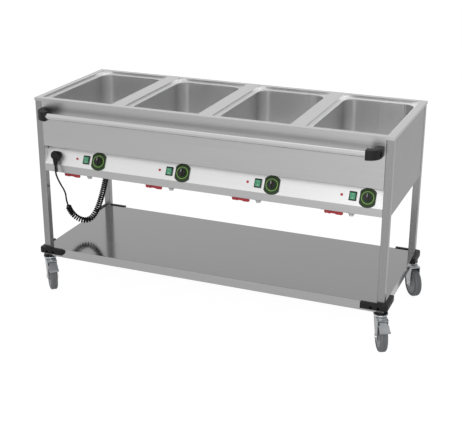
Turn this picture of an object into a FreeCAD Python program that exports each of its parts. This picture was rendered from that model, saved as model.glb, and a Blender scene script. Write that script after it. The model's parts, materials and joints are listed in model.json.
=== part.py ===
import FreeCAD, Part
import itertools
import math
import os
import re
import Sketcher

# Mobile bain marie: a steel trolley with four water wells, in millimetres.
# X runs along the deck to the right, Y to the back and Z up from the floor.

SIZES = {
    # deck and wells
    "well_count": 4,
    "well_gap": 62,
    "recess_width": 330,
    "recess_length": 535,
    "recess_depth": 14,
    "ledge_width": 14,
    "well_depth": 190,
    "well_corner": 48,
    "deck_margin": 27,
    "deck_height": 882,
    "deck_drop": 12,
    "deck_overhang": 2,
    "sheet_wall": 1.5,
    # legs and cabinet
    "leg_side": 30,
    "leg_wall": 1.5,
    "leg_round": 2.5,
    "skin_inset": 1.5,
    "apron_below": 6,
    "panel_tall": 80,
    "lip_tall": 33,
    "tray_rise": 24,
    "panel_tilt": 27,
    # shelf
    "shelf_top": 194,
    "shelf_skirt": 39,
    "stiffener_width": 40,
    "stiffener_depth": 24,
    "stiffener_offset": 130,
    "stiffener_end_gap": 30,
    # corner bumpers
    "bumper_foot": 169,
    "bumper_tall": 28,
    "bumper_proud": 18,
    "bumper_arm": 112,
    "bumper_round": 14,
    "bumper_edge": 5,
    "bumper_web": 6,
    "screw_pocket_radius": 5.5,
    "screw_head_radius": 4.6,
    "screw_head_tall": 3,
    "screw_shank_radius": 2.5,
    "screw_clearance": 0.2,
    "bumper_screw_near": 38,
    "bumper_screw_far": 68,
    "bumper_screw_rise": 11,
    # push handle
    "bar_radius": 12.5,
    "bar_wall": 1.5,
    "bar_drop": 58,
    "bar_standoff": 60,
    "bar_fit": 0.1,
    "bracket_tall": 40,
    "bracket_half_deep": 18,
    "bracket_end_gap": 6,
    "bracket_foot_wide": 26,
    "bracket_sleeve": 28,
    "bracket_outer_round": 52,
    "bracket_inner_round": 20,
    "bracket_edge": 4,
    "socket_depth": 18,
    "cap_recess_radius": 10,
    "cap_recess_deep": 9,
    "cap_radius": 7.6,
    "cap_tall": 3.5,
    "cap_out": 40,
    # controls on the sloping panel
    "control_along": 37,
    "knob_offset": 97,
    "switch_offset": 38,
    "lamp_offset": -7,
    "bezel_wide": 64,
    "bezel_radius": 39.5,
    "bezel_tall": 4,
    "knob_skirt_radius": 20,
    "knob_skirt_tall": 4,
    "knob_radius": 15.5,
    "knob_tall": 17,
    "knob_grip_wide": 9,
    "knob_grip_tall": 5,
    "knob_gap": 0.4,
    "spindle_radius": 3,
    "spindle_long": 16,
    "shaft_fit": 0.05,
    "thermostat_side": 44,
    "thermostat_deep": 34,
    "switch_wide": 30,
    "switch_tall": 37,
    "switch_rim": 4,
    "switch_wall": 1.6,
    "switch_deep": 18,
    "rocker_gap": 0.5,
    "rocker_rise": 6.5,
    "rocker_deep": 8,
    "rocker_tilt": 9,
    "panel_gap": 0.3,
    "lamp_radius": 4,
    "lamp_rim": 5.5,
    "lamp_rim_tall": 1.5,
    "lamp_tall": 4,
    "lamp_deep": 14,
    # drains
    "pipe_radius": 10.5,
    "pipe_bore": 8,
    "pipe_drop": 13,
    "pipe_back": 60,
    "valve_offset": -55,
    "valve_half": 27,
    "valve_radius": 15,
    "valve_boss_radius": 9,
    "drop_offset": 46,
    "outlet_offset": 79,
    "outlet_long": 20,
    "tail_radius": 9.5,
    "tail_long": 8,
    "lever_back": 18,
    "lever_wall": 4,
    "lever_wide": 17,
    "lever_long": 56,
    "lever_tail": 22,
    "lever_gap": 0.5,
    "stem_radius": 4.5,
    "stem_deep": 14,
    "nut_radius": 7,
    "nut_tall": 5,
    "pipe_hole_gap": 0.5,
    # heating
    "heater_radius": 5,
    "heater_bend": 55,
    "heater_half_long": 110,
    "clamp_wide": 16,
    "clamp_wall": 2,
    "clamp_over": 14,
    "clamp_offset": 60,
    # mains inlet
    "terminal_wide": 110,
    "terminal_deep": 80,
    "terminal_tall": 55,
    "terminal_back": 90,
    "terminal_offset": 70,
    "gland_nut_radius": 13,
    "gland_nut_tall": 7,
    "gland_neck_radius": 8,
    "gland_neck_tall": 9,
    "gland_hole_gap": 0.3,
    "cord_radius": 3.7,
    # plug parked on the panel
    "plug_inset": 56,
    "plug_along": 37,
    "plug_radius": 19,
    "plug_face": 8,
    "plug_deep": 30,
    "plug_neck_root": 15,
    "plug_neck_tip": 6.5,
    "plug_neck_long": 44,
    "pin_radius": 2.4,
    "pin_long": 19,
    "pin_half_pitch": 9.5,
    "holder_radius": 22,
    "holder_cup_radius": 19,
    "holder_cup_deep": 22,
    "strap_offset": 1,
    "strap_wide": 7,
    "strap_wall": 3,
    # curly cord
    "lead_run_in": 20,
    "curl_radius": 10.4,
    "curl_pitch": 9,
    "curl_pitch_bend": 11,
    "curl_pitch_top": 10.2,
    # casters
    "caster_inset": 15,
    "wheel_radius": 62.5,
    "tyre_wide": 31,
    "tyre_deep": 14,
    "tyre_shoulder_radius": 8,
    "rim_wide": 25,
    "rim_deep": 6,
    "web_wide": 8,
    "hub_radius": 15,
    "hub_wide": 35,
    "caster_trail": 35,
    "axle_radius": 5,
    "axle_head_radius": 8.5,
    "axle_head_tall": 5,
    "fork_gap": 1.5,
    "fork_wall": 3,
    "fork_crown": 4,
    "fork_crown_drop": 11,
    "fork_front": 24,
    "fork_ear": 50,
    "fork_ear_drop": 18,
    "fork_foot": 14,
    "raceway_radius": 25,
    "top_plate_radius": 28,
    "top_plate_tall": 5,
    "bearing_gap": 0.3,
    "kingpin_radius": 6,
    "stem_clearance": 0.3,
    "stem_tall": 60,
    "pedal_pin_radius": 2.5,
    "pedal_barrel_radius": 3.6,
    "pedal_pin_forward": 42,
    "pedal_pin_drop": 8,
    "pedal_wall": 3,
    "pedal_slope": 23,
    "pedal_long": 64,
    "pedal_root_wide": 30,
    "pedal_root_long": 24,
    "pedal_wide": 42,
    "pedal_lip": 10,
    "front_left_swing": 40,
    "front_right_swing": 26,
    "rear_right_swing": 36,
    "rear_left_swing": 212,
    # all cuts run past the faces by this much
    "overrun": 2,
}

LAYOUT = {
    "well_pitch": "recess_width + well_gap",
    "deck_half_x": "((well_count - 1) * well_pitch + recess_width) / 2 + deck_margin",
    "deck_half_y": "recess_length / 2 + deck_margin",
    "deck_under": "deck_height - sheet_wall",
    "ledge_top": "deck_height - recess_depth",
    "ledge_under": "ledge_top - sheet_wall",
    "well_floor": "ledge_top - well_depth",
    "well_under": "well_floor - sheet_wall",
    "open_half_x": "recess_width / 2 - ledge_width",
    "open_half_y": "recess_length / 2 - ledge_width",
    "leg_out_x": "deck_half_x - deck_overhang",
    "leg_out_y": "deck_half_y - deck_overhang",
    "leg_in_x": "leg_out_x - leg_side",
    "leg_in_y": "leg_out_y - leg_side",
    "plug_across": "plug_inset - leg_in_x",
    "front_y": "-leg_out_y",
    "apron_foot": "well_floor - apron_below",
    "panel_foot": "apron_foot - panel_tall",
    "lip_foot": "panel_foot - lip_tall",
    "bar_height": "deck_height - bar_drop",
    "pipe_height": "lip_foot - pipe_drop",
    "outlet_foot": "pipe_height - outlet_long",
    "tray_foot": "lip_foot + tray_rise",
    "tray_top": "tray_foot + sheet_wall",
    "shelf_foot": "shelf_top - shelf_skirt",
    "panel_sin": "sin(panel_tilt * 1deg)",
    "panel_cos": "cos(panel_tilt * 1deg)",
    "panel_back": "panel_tall * panel_sin / panel_cos",
    "panel_skin": "sheet_wall * panel_cos",
    "panel_turn": "90 - panel_tilt",
    "pipe_y": "front_y + pipe_back",
    "lever_y": "front_y + lever_back",
    "axle_z": "wheel_radius",
    "crown_z": "shelf_foot - top_plate_tall - fork_crown_drop",
    "fork_half": "hub_wide / 2 + fork_gap + fork_wall",
    "rim_radius": "wheel_radius - tyre_deep",
    "bracket_out": "leg_in_x - bracket_end_gap",
    "bracket_in": "bracket_out - bracket_foot_wide",
    "sleeve_end": "bracket_in - bracket_sleeve",
    "bar_half": "sleeve_end + socket_depth",
}

# Route of the mains cord, chosen by eye and measured from the foot of the sloping panel under
# the plug: the straight lead, then the line that the curls wind round, up to the gland.
LEAD_ROUTE = [
    (12, -31, -24),
    (19, -27, -52),
    (18, -8, -80),
    (7, 20, -103),
    (-9, 53, -123),
    (-27, 86, -140),
    (-44, 116, -156),
    (-56, 142, -175),
    (-61, 160, -199),
]
# The curls hang in one upright plane, so their points are (distance along it, height).
CURL_PLANE_FOOT = (-63, 171)
CURL_PLANE_HEADING = 35
CURL_PLANE_ROUTE = [
    (1, -247),
    (6, -269),
    (17, -292),
    (32, -312),
    (48, -325),
    (64, -333),
    (80, -336),
    (96, -333),
    (110, -324),
    (122, -309),
    (133, -290),
    (143, -268),
    (152, -243),
    (160, -217),
    (168, -190),
    (175, -163),
    (181, -136),
    (186, -109),
    (189, -83),
    (191, -60),
    (191, -38),
]
# Share of a run that its bend takes at each end.
BEND_SHARE = 0.45
# Share of a sheet's wall within which two places count as the same.
TOUCH_SHARE = 0.01

doc = FreeCAD.newDocument("bain_marie")
NODES = []
WORD = re.compile(r"[a-z_]+")


def linked(formula, inside_layout=False):
    """Point each size word of a formula at the sheet that holds it."""
    def owner(match):
        word = match.group()
        if word in SIZES:
            return "Sizes." + word
        if word in LAYOUT and not inside_layout:
            return "Layout." + word
        return word
    return WORD.sub(owner, formula)


def fill_sheet(name, rows):
    sheet = doc.addObject("Spreadsheet::Sheet", name)
    for row, (word, text) in enumerate(rows.items(), start=1):
        sheet.set(f"A{row}", word)
        sheet.set(f"B{row}", text)
        sheet.setAlias(f"B{row}", word)
    return sheet


sizes = fill_sheet("Sizes", {word: str(value) for word, value in SIZES.items()})
layout = fill_sheet("Layout", {word: "=" + linked(text, True) for word, text in LAYOUT.items()})
doc.recompute()


def mm(word):
    """Value of one size, for shapes that are worked out in code."""
    sheet = sizes if word in SIZES else layout
    return float(sheet.get(word))


def route_point(x, y, z):
    return FreeCAD.Vector(mm("plug_across") + x, mm("front_y") + y, mm("panel_foot") + z)


HEADING = math.radians(CURL_PLANE_HEADING)
LEAD_POINTS = [route_point(*point) for point in LEAD_ROUTE]
CURL_POINTS = [route_point(CURL_PLANE_FOOT[0] + along * math.cos(HEADING),
                           CURL_PLANE_FOOT[1] + along * math.sin(HEADING), height)
               for along, height in CURL_PLANE_ROUTE]

X_AXIS = FreeCAD.Vector(1, 0, 0)
Y_AXIS = FreeCAD.Vector(0, 1, 0)
Z_AXIS = FreeCAD.Vector(0, 0, 1)


def bind(thing, **formulas):
    for name, formula in formulas.items():
        thing.setExpression(name, linked(formula))


def place(thing, x="0", y="0", z="0", axis=Z_AXIS, turn="0"):
    thing.Placement = FreeCAD.Placement(FreeCAD.Vector(), FreeCAD.Rotation(axis, 1))
    thing.setExpression("Placement.Rotation.Angle", linked(turn))
    for letter, formula in zip("xyz", (x, y, z)):
        thing.setExpression("Placement.Base." + letter, linked(formula))
    return thing


def place_on_panel(thing, x, along="control_along", proud="0", turn="panel_turn"):
    """Stand a piece on the sloping panel: along runs up the slope, proud off it."""
    y = f"front_y + ({along}) * panel_sin - ({proud}) * panel_cos"
    z = f"panel_foot + ({along}) * panel_cos + ({proud}) * panel_sin"
    return place(thing, x, y, z, X_AXIS, turn)


def node(thing, label):
    thing.Label = label
    NODES.append(thing)
    return thing


def block(low, high, name="block"):
    """Box between two corners, each given as three formulas."""
    box = doc.addObject("Part::Box", name)
    spans = [f"({top}) - ({foot})" for foot, top in zip(low, high)]
    bind(box, Length=spans[0], Width=spans[1], Height=spans[2])
    return place(box, *low)


def rod(start, axis, long, radius, name="rod"):
    """Cylinder from a start point along +X, +Y or +Z."""
    cylinder = doc.addObject("Part::Cylinder", name)
    bind(cylinder, Radius=radius, Height=long)
    turns = {"x": (Y_AXIS, "90"), "y": (X_AXIS, "-90"), "z": (Z_AXIS, "0")}
    return place(cylinder, *start, *turns[axis])


def fused(*pieces):
    fuse = doc.addObject("Part::MultiFuse", "fuse")
    fuse.Shapes = list(pieces)
    fuse.Refine = True
    return fuse


def cut(base, *tools):
    result = doc.addObject("Part::Cut", "cut")
    result.Base = base
    result.Tool = tools[0] if len(tools) == 1 else fused(*tools)
    return result


def shared(base, tool):
    common = doc.addObject("Part::Common", "common")
    common.Base = base
    common.Tool = tool
    return common


def held(piece):
    """Wrap a placed piece, so that it can be placed once more as a whole."""
    wrap = doc.addObject("Part::Compound", "wrap")
    wrap.Links = [piece]
    return wrap


def grouped(label, pieces):
    group = doc.addObject("Part::Compound", "group")
    group.Links = list(pieces)
    return node(group, label)


def edges_where(shape, test):
    return [number for number, edge in enumerate(shape.Edges, start=1) if test(edge)]


def upright(edge):
    first, last = edge.Vertexes[0].Point, edge.Vertexes[-1].Point
    level = math.hypot(last.x - first.x, last.y - first.y)
    return level < abs(last.z - first.z) and isinstance(edge.Curve, Part.Line)


def round_uprights(base, radius):
    doc.recompute()
    fillet = doc.addObject("Part::Fillet", "rounded")
    fillet.Base = base
    fillet.Edges = [(number, mm(radius), mm(radius)) for number in edges_where(base.Shape, upright)]
    return fillet


def outline(body, plane_role, points):
    """Closed sketch of straight lines whose corners follow formulas."""
    plane = [item for item in body.Origin.OriginFeatures if item.Role == plane_role][0]
    probe = doc.addObject("Part::Box", "probe")
    spots = []
    for across, up in points:
        place(probe, across, up)
        doc.recompute()
        spots.append((probe.Placement.Base.x, probe.Placement.Base.y))
    doc.removeObject(probe.Name)
    sketch = body.newObject("Sketcher::SketchObject", "sketch")
    sketch.AttachmentSupport = [(plane, "")]
    sketch.MapMode = "FlatFace"
    count = len(points)
    for spot, following in zip(spots, spots[1:] + spots[:1]):
        line = Part.LineSegment(FreeCAD.Vector(*spot, 0), FreeCAD.Vector(*following, 0))
        sketch.addGeometry(line, False)
    for index in range(count):
        sketch.addConstraint(Sketcher.Constraint("Coincident", index, 2, (index + 1) % count, 1))
    for index, (spot, formulas) in enumerate(zip(spots, points)):
        for kind, value, formula, line in zip(("DistanceX", "DistanceY"), spot, formulas, (-2, -1)):
            if value == 0:
                sketch.addConstraint(Sketcher.Constraint("PointOnObject", index, 1, line))
                continue
            ends = (-1, 1, index, 1) if value > 0 else (index, 1, -1, 1)
            number = sketch.addConstraint(Sketcher.Constraint(kind, *ends, abs(value)))
            signed = formula if value > 0 else f"-({formula})"
            sketch.setExpression(f"Constraints[{number}]", linked(signed))
    return sketch


def padded(plane_role, points, long):
    """Body made by pushing an outline out square to its plane."""
    body = doc.addObject("PartDesign::Body", "body")
    sketch = outline(body, plane_role, points)
    pad = body.newObject("PartDesign::Pad", "pad")
    pad.Profile = sketch
    bind(pad, Length=long)
    doc.recompute()
    return body


def turned(points):
    """Body of revolution about Z from a half outline of (radius, height)."""
    body = doc.addObject("PartDesign::Body", "body")
    sketch = outline(body, "XZ_Plane", points)
    lathe = body.newObject("PartDesign::Revolution", "lathe")
    lathe.Profile = sketch
    lathe.ReferenceAxis = (sketch, ["V_Axis"])
    lathe.Angle = 360
    doc.recompute()
    return body


def rounded(body, radius, test):
    """Fillet the edges of a body that pass a test."""
    doc.recompute()
    last = body.Tip
    names = [f"Edge{number}" for number in edges_where(last.Shape, test)]
    fillet = body.newObject("PartDesign::Fillet", "fillet")
    fillet.Base = (last, names)
    bind(fillet, Radius=radius)
    doc.recompute()
    return body


def middle(edge):
    return edge.valueAt((edge.FirstParameter + edge.LastParameter) / 2)


def near(value, target):
    return abs(value - target) < TOUCH_SHARE * mm("sheet_wall")


WELLS = range(SIZES["well_count"])
SIDES = (-1, 1)
CORNERS = [(side, end) for side in SIDES for end in SIDES]


def well_x(index, offset="0"):
    return f"well_pitch * ({index} - (well_count - 1) / 2) + ({offset})"


def make_deck():
    """Top sheet as folded strips round the wells: front and rear, both ends, and between wells."""
    strips = []
    foot = "deck_height - deck_drop"
    for end in SIDES:
        y = f"{end} * (deck_half_y - deck_margin / 2)"
        edge = f"{end} * (deck_half_y - sheet_wall / 2)"
        top = block(("-deck_half_x", f"{y} - deck_margin / 2", "deck_under"),
                    ("deck_half_x", f"{y} + deck_margin / 2", "deck_height"))
        skirt = block(("-deck_half_x", f"{edge} - sheet_wall / 2", foot),
                      ("deck_half_x", f"{edge} + sheet_wall / 2", "deck_height"))
        returns = [block((f"{side} * (deck_half_x - sheet_wall / 2) - sheet_wall / 2",
                          f"{y} - deck_margin / 2", foot),
                         (f"{side} * (deck_half_x - sheet_wall / 2) + sheet_wall / 2",
                          f"{y} + deck_margin / 2", "deck_height")) for side in SIDES]
        strips.append(fused(top, skirt, *returns))
    for side in SIDES:
        x = f"{side} * (deck_half_x - deck_margin / 2)"
        edge = f"{side} * (deck_half_x - sheet_wall / 2)"
        top = block((f"{x} - deck_margin / 2", "-recess_length / 2", "deck_under"),
                    (f"{x} + deck_margin / 2", "recess_length / 2", "deck_height"))
        skirt = block((f"{edge} - sheet_wall / 2", "-recess_length / 2", foot),
                      (f"{edge} + sheet_wall / 2", "recess_length / 2", "deck_height"))
        strips.append(fused(top, skirt))
    for index in WELLS[1:]:
        strips.append(block((well_x(index - 1, "recess_width / 2"), "-recess_length / 2", "deck_under"),
                            (well_x(index, "-recess_width / 2"), "recess_length / 2", "deck_height")))
    grouped("deck", strips)


def make_basins():
    """Water wells, each with the sunk step and ledge that a food pan hangs in."""
    for index in WELLS:
        step = block((well_x(index, "-recess_width / 2 - sheet_wall"),
                      "-recess_length / 2 - sheet_wall", "ledge_under"),
                     (well_x(index, "recess_width / 2 + sheet_wall"),
                      "recess_length / 2 + sheet_wall", "deck_under"))
        recess = block((well_x(index, "-recess_width / 2"), "-recess_length / 2", "ledge_top"),
                       (well_x(index, "recess_width / 2"), "recess_length / 2", "deck_under + overrun"))
        shell = block((well_x(index, "-open_half_x - sheet_wall"), "-open_half_y - sheet_wall",
                       "well_under"),
                      (well_x(index, "open_half_x + sheet_wall"), "open_half_y + sheet_wall",
                       "ledge_top"))
        space = block((well_x(index, "-open_half_x"), "-open_half_y", "well_floor"),
                      (well_x(index, "open_half_x"), "open_half_y", "ledge_top + overrun"))
        drain = rod((well_x(index, "valve_offset - drop_offset"), "pipe_y", "well_under - overrun"),
                    "z", "sheet_wall + 2 * overrun", "pipe_bore")
        tub = cut(fused(step, round_uprights(shell, "well_corner")), recess,
                  round_uprights(space, "well_corner"), drain)
        node(tub, f"basin_{index + 1}")


def make_cabinet():
    face = block(("-leg_in_x", "front_y", "apron_foot"),
                 ("leg_in_x", "front_y + sheet_wall", "deck_under"))
    fold = block(("-leg_in_x", "front_y", "apron_foot"),
                 ("leg_in_x", "front_y + panel_back + sheet_wall", "apron_foot + sheet_wall"))
    node(fused(face, fold), "front_apron")
    rear = block(("-leg_in_x", "leg_out_y - skin_inset - sheet_wall", "lip_foot"),
                 ("leg_in_x", "leg_out_y - skin_inset", "deck_under"))
    skins = [rear]
    for side in SIDES:
        far = f"{side} * (leg_out_x - skin_inset - sheet_wall / 2)"
        skins.append(block((f"{far} - sheet_wall / 2", "-leg_in_y", "lip_foot"),
                           (f"{far} + sheet_wall / 2", "leg_in_y", "deck_under")))
    grouped("cabinet_skins", skins)
    tray = block(("-leg_in_x", "front_y + sheet_wall", "tray_foot"),
                 ("leg_in_x", "leg_out_y - skin_inset - sheet_wall", "tray_top"))
    holes = [rod((well_x(index, "valve_offset - drop_offset"), "pipe_y", "tray_foot - overrun"),
                 "z", "sheet_wall + 2 * overrun", "pipe_radius + pipe_hole_gap")
             for index in WELLS]
    gland = CURL_POINTS[-1]
    entry = rod((str(gland.x), str(gland.y), "tray_foot - overrun"), "z",
                "sheet_wall + 2 * overrun", "gland_neck_radius + gland_hole_gap")
    node(cut(tray, *holes, entry), "bottom_tray")


def make_control_panel():
    profile = [("front_y", "lip_foot"), ("front_y", "panel_foot"),
               ("front_y + panel_back", "apron_foot"),
               ("front_y + panel_back + sheet_wall", "apron_foot"),
               ("front_y + sheet_wall", "panel_foot"), ("front_y + sheet_wall", "lip_foot")]
    sheet = padded("YZ_Plane", profile, "2 * leg_in_x")
    place(sheet, "-leg_in_x")
    holes = []
    through = "-(sheet_wall + overrun)"
    deep = "sheet_wall + 2 * overrun"

    def round_hole(x, radius, along="control_along"):
        hole = doc.addObject("Part::Cylinder", "hole")
        bind(hole, Radius=radius, Height=deep)
        holes.append(place_on_panel(hole, x, along, through))

    for index in WELLS:
        round_hole(well_x(index, "knob_offset"), "spindle_radius + panel_gap")
        round_hole(well_x(index, "lamp_offset"), "lamp_radius + panel_gap")
        window = doc.addObject("Part::Box", "window")
        bind(window, Length="switch_wide - switch_rim + 2 * panel_gap",
             Width="switch_tall - switch_rim + 2 * panel_gap", Height=deep)
        place_on_panel(window,
                       well_x(index, "switch_offset - (switch_wide - switch_rim) / 2 - panel_gap"),
                       "control_along - (switch_tall - switch_rim) / 2 - panel_gap", through)
        holes.append(window)
    round_hole("plug_across", "holder_cup_radius + panel_gap", "plug_along")
    node(cut(sheet, *holes), "control_panel")


def make_legs():
    tubes = []
    for side, end in CORNERS:
        x = f"{side} * (leg_out_x - leg_side / 2)"
        y = f"{end} * (leg_out_y - leg_side / 2)"
        outer = block((f"{x} - leg_side / 2", f"{y} - leg_side / 2", "shelf_foot"),
                      (f"{x} + leg_side / 2", f"{y} + leg_side / 2", "deck_under"))
        inner = block((f"{x} - leg_side / 2 + leg_wall", f"{y} - leg_side / 2 + leg_wall",
                       "shelf_foot - overrun"),
                      (f"{x} + leg_side / 2 - leg_wall", f"{y} + leg_side / 2 - leg_wall",
                       "deck_under + overrun"))
        recesses = block(("-(deck_half_x - deck_margin + sheet_wall)",
                          "-(deck_half_y - deck_margin + sheet_wall)", "ledge_under"),
                         ("deck_half_x - deck_margin + sheet_wall",
                          "deck_half_y - deck_margin + sheet_wall", "deck_under + overrun"))
        tubes.append(cut(round_uprights(outer, "leg_round"), inner, recesses))
    grouped("legs", tubes)


def make_shelf():
    top = block(("-leg_out_x", "-leg_out_y", "shelf_foot"), ("leg_out_x", "leg_out_y", "shelf_top"))
    under = block(("-leg_out_x + sheet_wall", "-leg_out_y + sheet_wall", "shelf_foot - overrun"),
                  ("leg_out_x - sheet_wall", "leg_out_y - sheet_wall", "shelf_top - sheet_wall"))
    notches = []
    for side, end in CORNERS:
        x = f"{side} * (leg_in_x + leg_side / 2)"
        y = f"{end} * (leg_in_y + leg_side / 2)"
        reach_x = f"leg_side / 2 + {(1 + side) // 2} * overrun"
        reach_y = f"leg_side / 2 + {(1 + end) // 2} * overrun"
        back_x = f"leg_side / 2 + {(1 - side) // 2} * overrun"
        back_y = f"leg_side / 2 + {(1 - end) // 2} * overrun"
        notches.append(block((f"{x} - ({back_x})", f"{y} - ({back_y})", "shelf_foot - overrun"),
                             (f"{x} + {reach_x}", f"{y} + {reach_y}", "shelf_top + overrun")))
    node(cut(cut(top, under), *notches), "shelf")
    channels = []
    for side in SIDES:
        y = f"{side} * stiffener_offset"
        high = "shelf_top - sheet_wall"
        end = "leg_in_x - stiffener_end_gap"
        outer = block((f"-({end})", f"{y} - stiffener_width / 2", f"{high} - stiffener_depth"),
                      (end, f"{y} + stiffener_width / 2", high))
        inner = block((f"-({end}) - overrun", f"{y} - stiffener_width / 2 + sheet_wall",
                       f"{high} - stiffener_depth + sheet_wall"),
                      (f"{end} + overrun", f"{y} + stiffener_width / 2 - sheet_wall",
                       f"{high} + overrun"))
        channels.append(cut(outer, inner))
    grouped("shelf_stiffeners", channels)


def make_bumpers():
    """Corner pieces, drawn round a leg's corner that looks to the right and the back.

    Gives back their screws.
    """
    reach = "bumper_arm - bumper_proud"
    profile = [("0", "0"), ("0", f"-({reach})"), ("bumper_proud", f"-({reach})"),
               ("bumper_proud", "bumper_proud"), (f"-({reach})", "bumper_proud"), (f"-({reach})", "0")]
    corner = mm("bumper_proud")

    def at_corner(edge):
        return upright(edge) and near(middle(edge).x, corner) and near(middle(edge).y, corner)

    def outer_rim(edge):
        spot = middle(edge)
        level = near(spot.z, 0) or near(spot.z, mm("bumper_tall"))
        outer = near(spot.x, corner) or near(spot.y, corner) or isinstance(edge.Curve, Part.Circle)
        return level and outer

    def screw_start(axis, inward, depth):
        along = f"bumper_proud - {inward}"
        spot = (depth, along) if axis == "x" else (along, depth)
        return (*spot, "bumper_screw_rise")

    pieces = []
    screws = []
    for quarter, (side, end) in enumerate([(1, 1), (-1, 1), (-1, -1), (1, -1)]):
        spot = (f"{side} * leg_out_x", f"{end} * leg_out_y", "bumper_foot")
        turn = f"{quarter} * 90"
        body = padded("XY_Plane", profile, "bumper_tall")
        rounded(body, "bumper_round", at_corner)
        rounded(body, "bumper_edge", outer_rim)
        tools = []
        for axis, inward in itertools.product("xy", ("bumper_screw_near", "bumper_screw_far")):
            seat = screw_start(axis, inward, "bumper_web")
            tools.append(rod(seat, axis, "bumper_proud", "screw_pocket_radius"))
            tools.append(rod(screw_start(axis, inward, "-overrun"), axis, "bumper_web + 2 * overrun",
                             "screw_shank_radius + screw_clearance"))
            head = rod(seat, axis, "screw_head_tall", "screw_head_radius")
            shank = rod(screw_start(axis, inward, "0"), axis, "bumper_web + screw_head_tall / 2",
                        "screw_shank_radius")
            screws.append(place(fused(head, shank), *spot, Z_AXIS, turn))
        pieces.append(place(cut(body, *tools), *spot, Z_AXIS, turn))
    grouped("corner_bumpers", pieces)
    return screws


def make_handle():
    """Push bar in its two brackets. Gives back the brackets' screw caps."""
    outer = rod(("-bar_half", "front_y - bar_standoff", "bar_height"), "x", "2 * bar_half", "bar_radius")
    inner = rod(("-bar_half - overrun", "front_y - bar_standoff", "bar_height"), "x",
                "2 * bar_half + 2 * overrun", "bar_radius - bar_wall")
    node(cut(outer, inner), "handle_bar")
    profile = [("bracket_in", "0"), ("bracket_out", "0"),
               ("bracket_out", "-(bar_standoff + bracket_half_deep)"),
               ("sleeve_end", "-(bar_standoff + bracket_half_deep)"),
               ("sleeve_end", "-(bar_standoff - bracket_half_deep)"),
               ("bracket_in", "-(bar_standoff - bracket_half_deep)")]
    brackets = []
    caps = []
    for turn in ("0", "180"):
        body = padded("XY_Plane", profile, "bracket_tall")
        place(body, z="-bracket_tall / 2")
        doc.recompute()
        rounded(body, "bracket_outer_round", lambda edge: upright(edge)
                and near(middle(edge).x, mm("bracket_out")) and middle(edge).y < -mm("bar_standoff"))
        rounded(body, "bracket_inner_round", lambda edge: upright(edge)
                and near(middle(edge).x, mm("bracket_in")) and middle(edge).y < -mm("bracket_inner_round"))
        rounded(body, "bracket_edge", lambda edge: not upright(edge)
                and not near(middle(edge).y, 0) and not near(middle(edge).x, mm("sleeve_end"))
                and (near(middle(edge).z, 0) or near(middle(edge).z, mm("bracket_tall"))))
        socket = rod(("sleeve_end - overrun", "-bar_standoff", "0"), "x", "socket_depth + overrun",
                     "bar_radius + bar_fit")
        recess = rod(("bracket_out - cap_recess_deep", "-cap_out", "0"), "x",
                     "cap_recess_deep + overrun", "cap_recess_radius")
        cap = rod(("bracket_out - cap_recess_deep", "-cap_out", "0"), "x", "cap_tall", "cap_radius")
        brackets.append(place(cut(body, socket, recess), "0", "front_y", "bar_height", Y_AXIS, turn))
        caps.append(place(held(cap), "0", "front_y", "bar_height", Y_AXIS, turn))
    grouped("handle_brackets", brackets)
    return caps


def make_heating():
    heaters = []
    high = "well_under - heater_radius"
    for index in WELLS:
        legs = [rod((well_x(index, f"{side} * heater_bend"), "-heater_half_long", high), "y",
                    "2 * heater_half_long", "heater_radius") for side in SIDES]
        bend = doc.addObject("Part::Torus", "bend")
        bind(bend, Radius1="heater_bend", Radius2="heater_radius")
        bend.Angle3 = 180
        place(bend, well_x(index), "heater_half_long", high)
        heaters.append(fused(*legs, bend))
        for side in SIDES:
            y = f"{side} * clamp_offset"
            foot = f"{high} - heater_radius - clamp_wall"
            reach = "heater_bend + heater_radius + clamp_over"
            strap = block((well_x(index, f"-({reach})"), f"{y} - clamp_wide / 2", foot),
                          (well_x(index, reach), f"{y} + clamp_wide / 2", f"{foot} + clamp_wall"))
            ears = [block((well_x(index, f"{hand} * ({reach} - clamp_wall) - clamp_wall"),
                           f"{y} - clamp_wide / 2", foot),
                          (well_x(index, f"{hand} * ({reach} - clamp_wall) + clamp_wall"),
                           f"{y} + clamp_wide / 2", "well_under")) for hand in SIDES]
            heaters.append(fused(strap, *ears))
    grouped("heating_elements", heaters)


def panel_box(x, wide, tall, low, high):
    """Box centred on a control's place, between two heights off the panel."""
    box = doc.addObject("Part::Box", "box")
    bind(box, Length=wide, Width=tall, Height=f"({high}) - ({low})")
    return place_on_panel(box, f"{x} - ({wide}) / 2", f"control_along - ({tall}) / 2", low)


def panel_rod(x, radius, low, high, along="control_along"):
    cylinder = doc.addObject("Part::Cylinder", "cylinder")
    bind(cylinder, Radius=radius, Height=f"({high}) - ({low})")
    return place_on_panel(cylinder, x, along, low)


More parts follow.
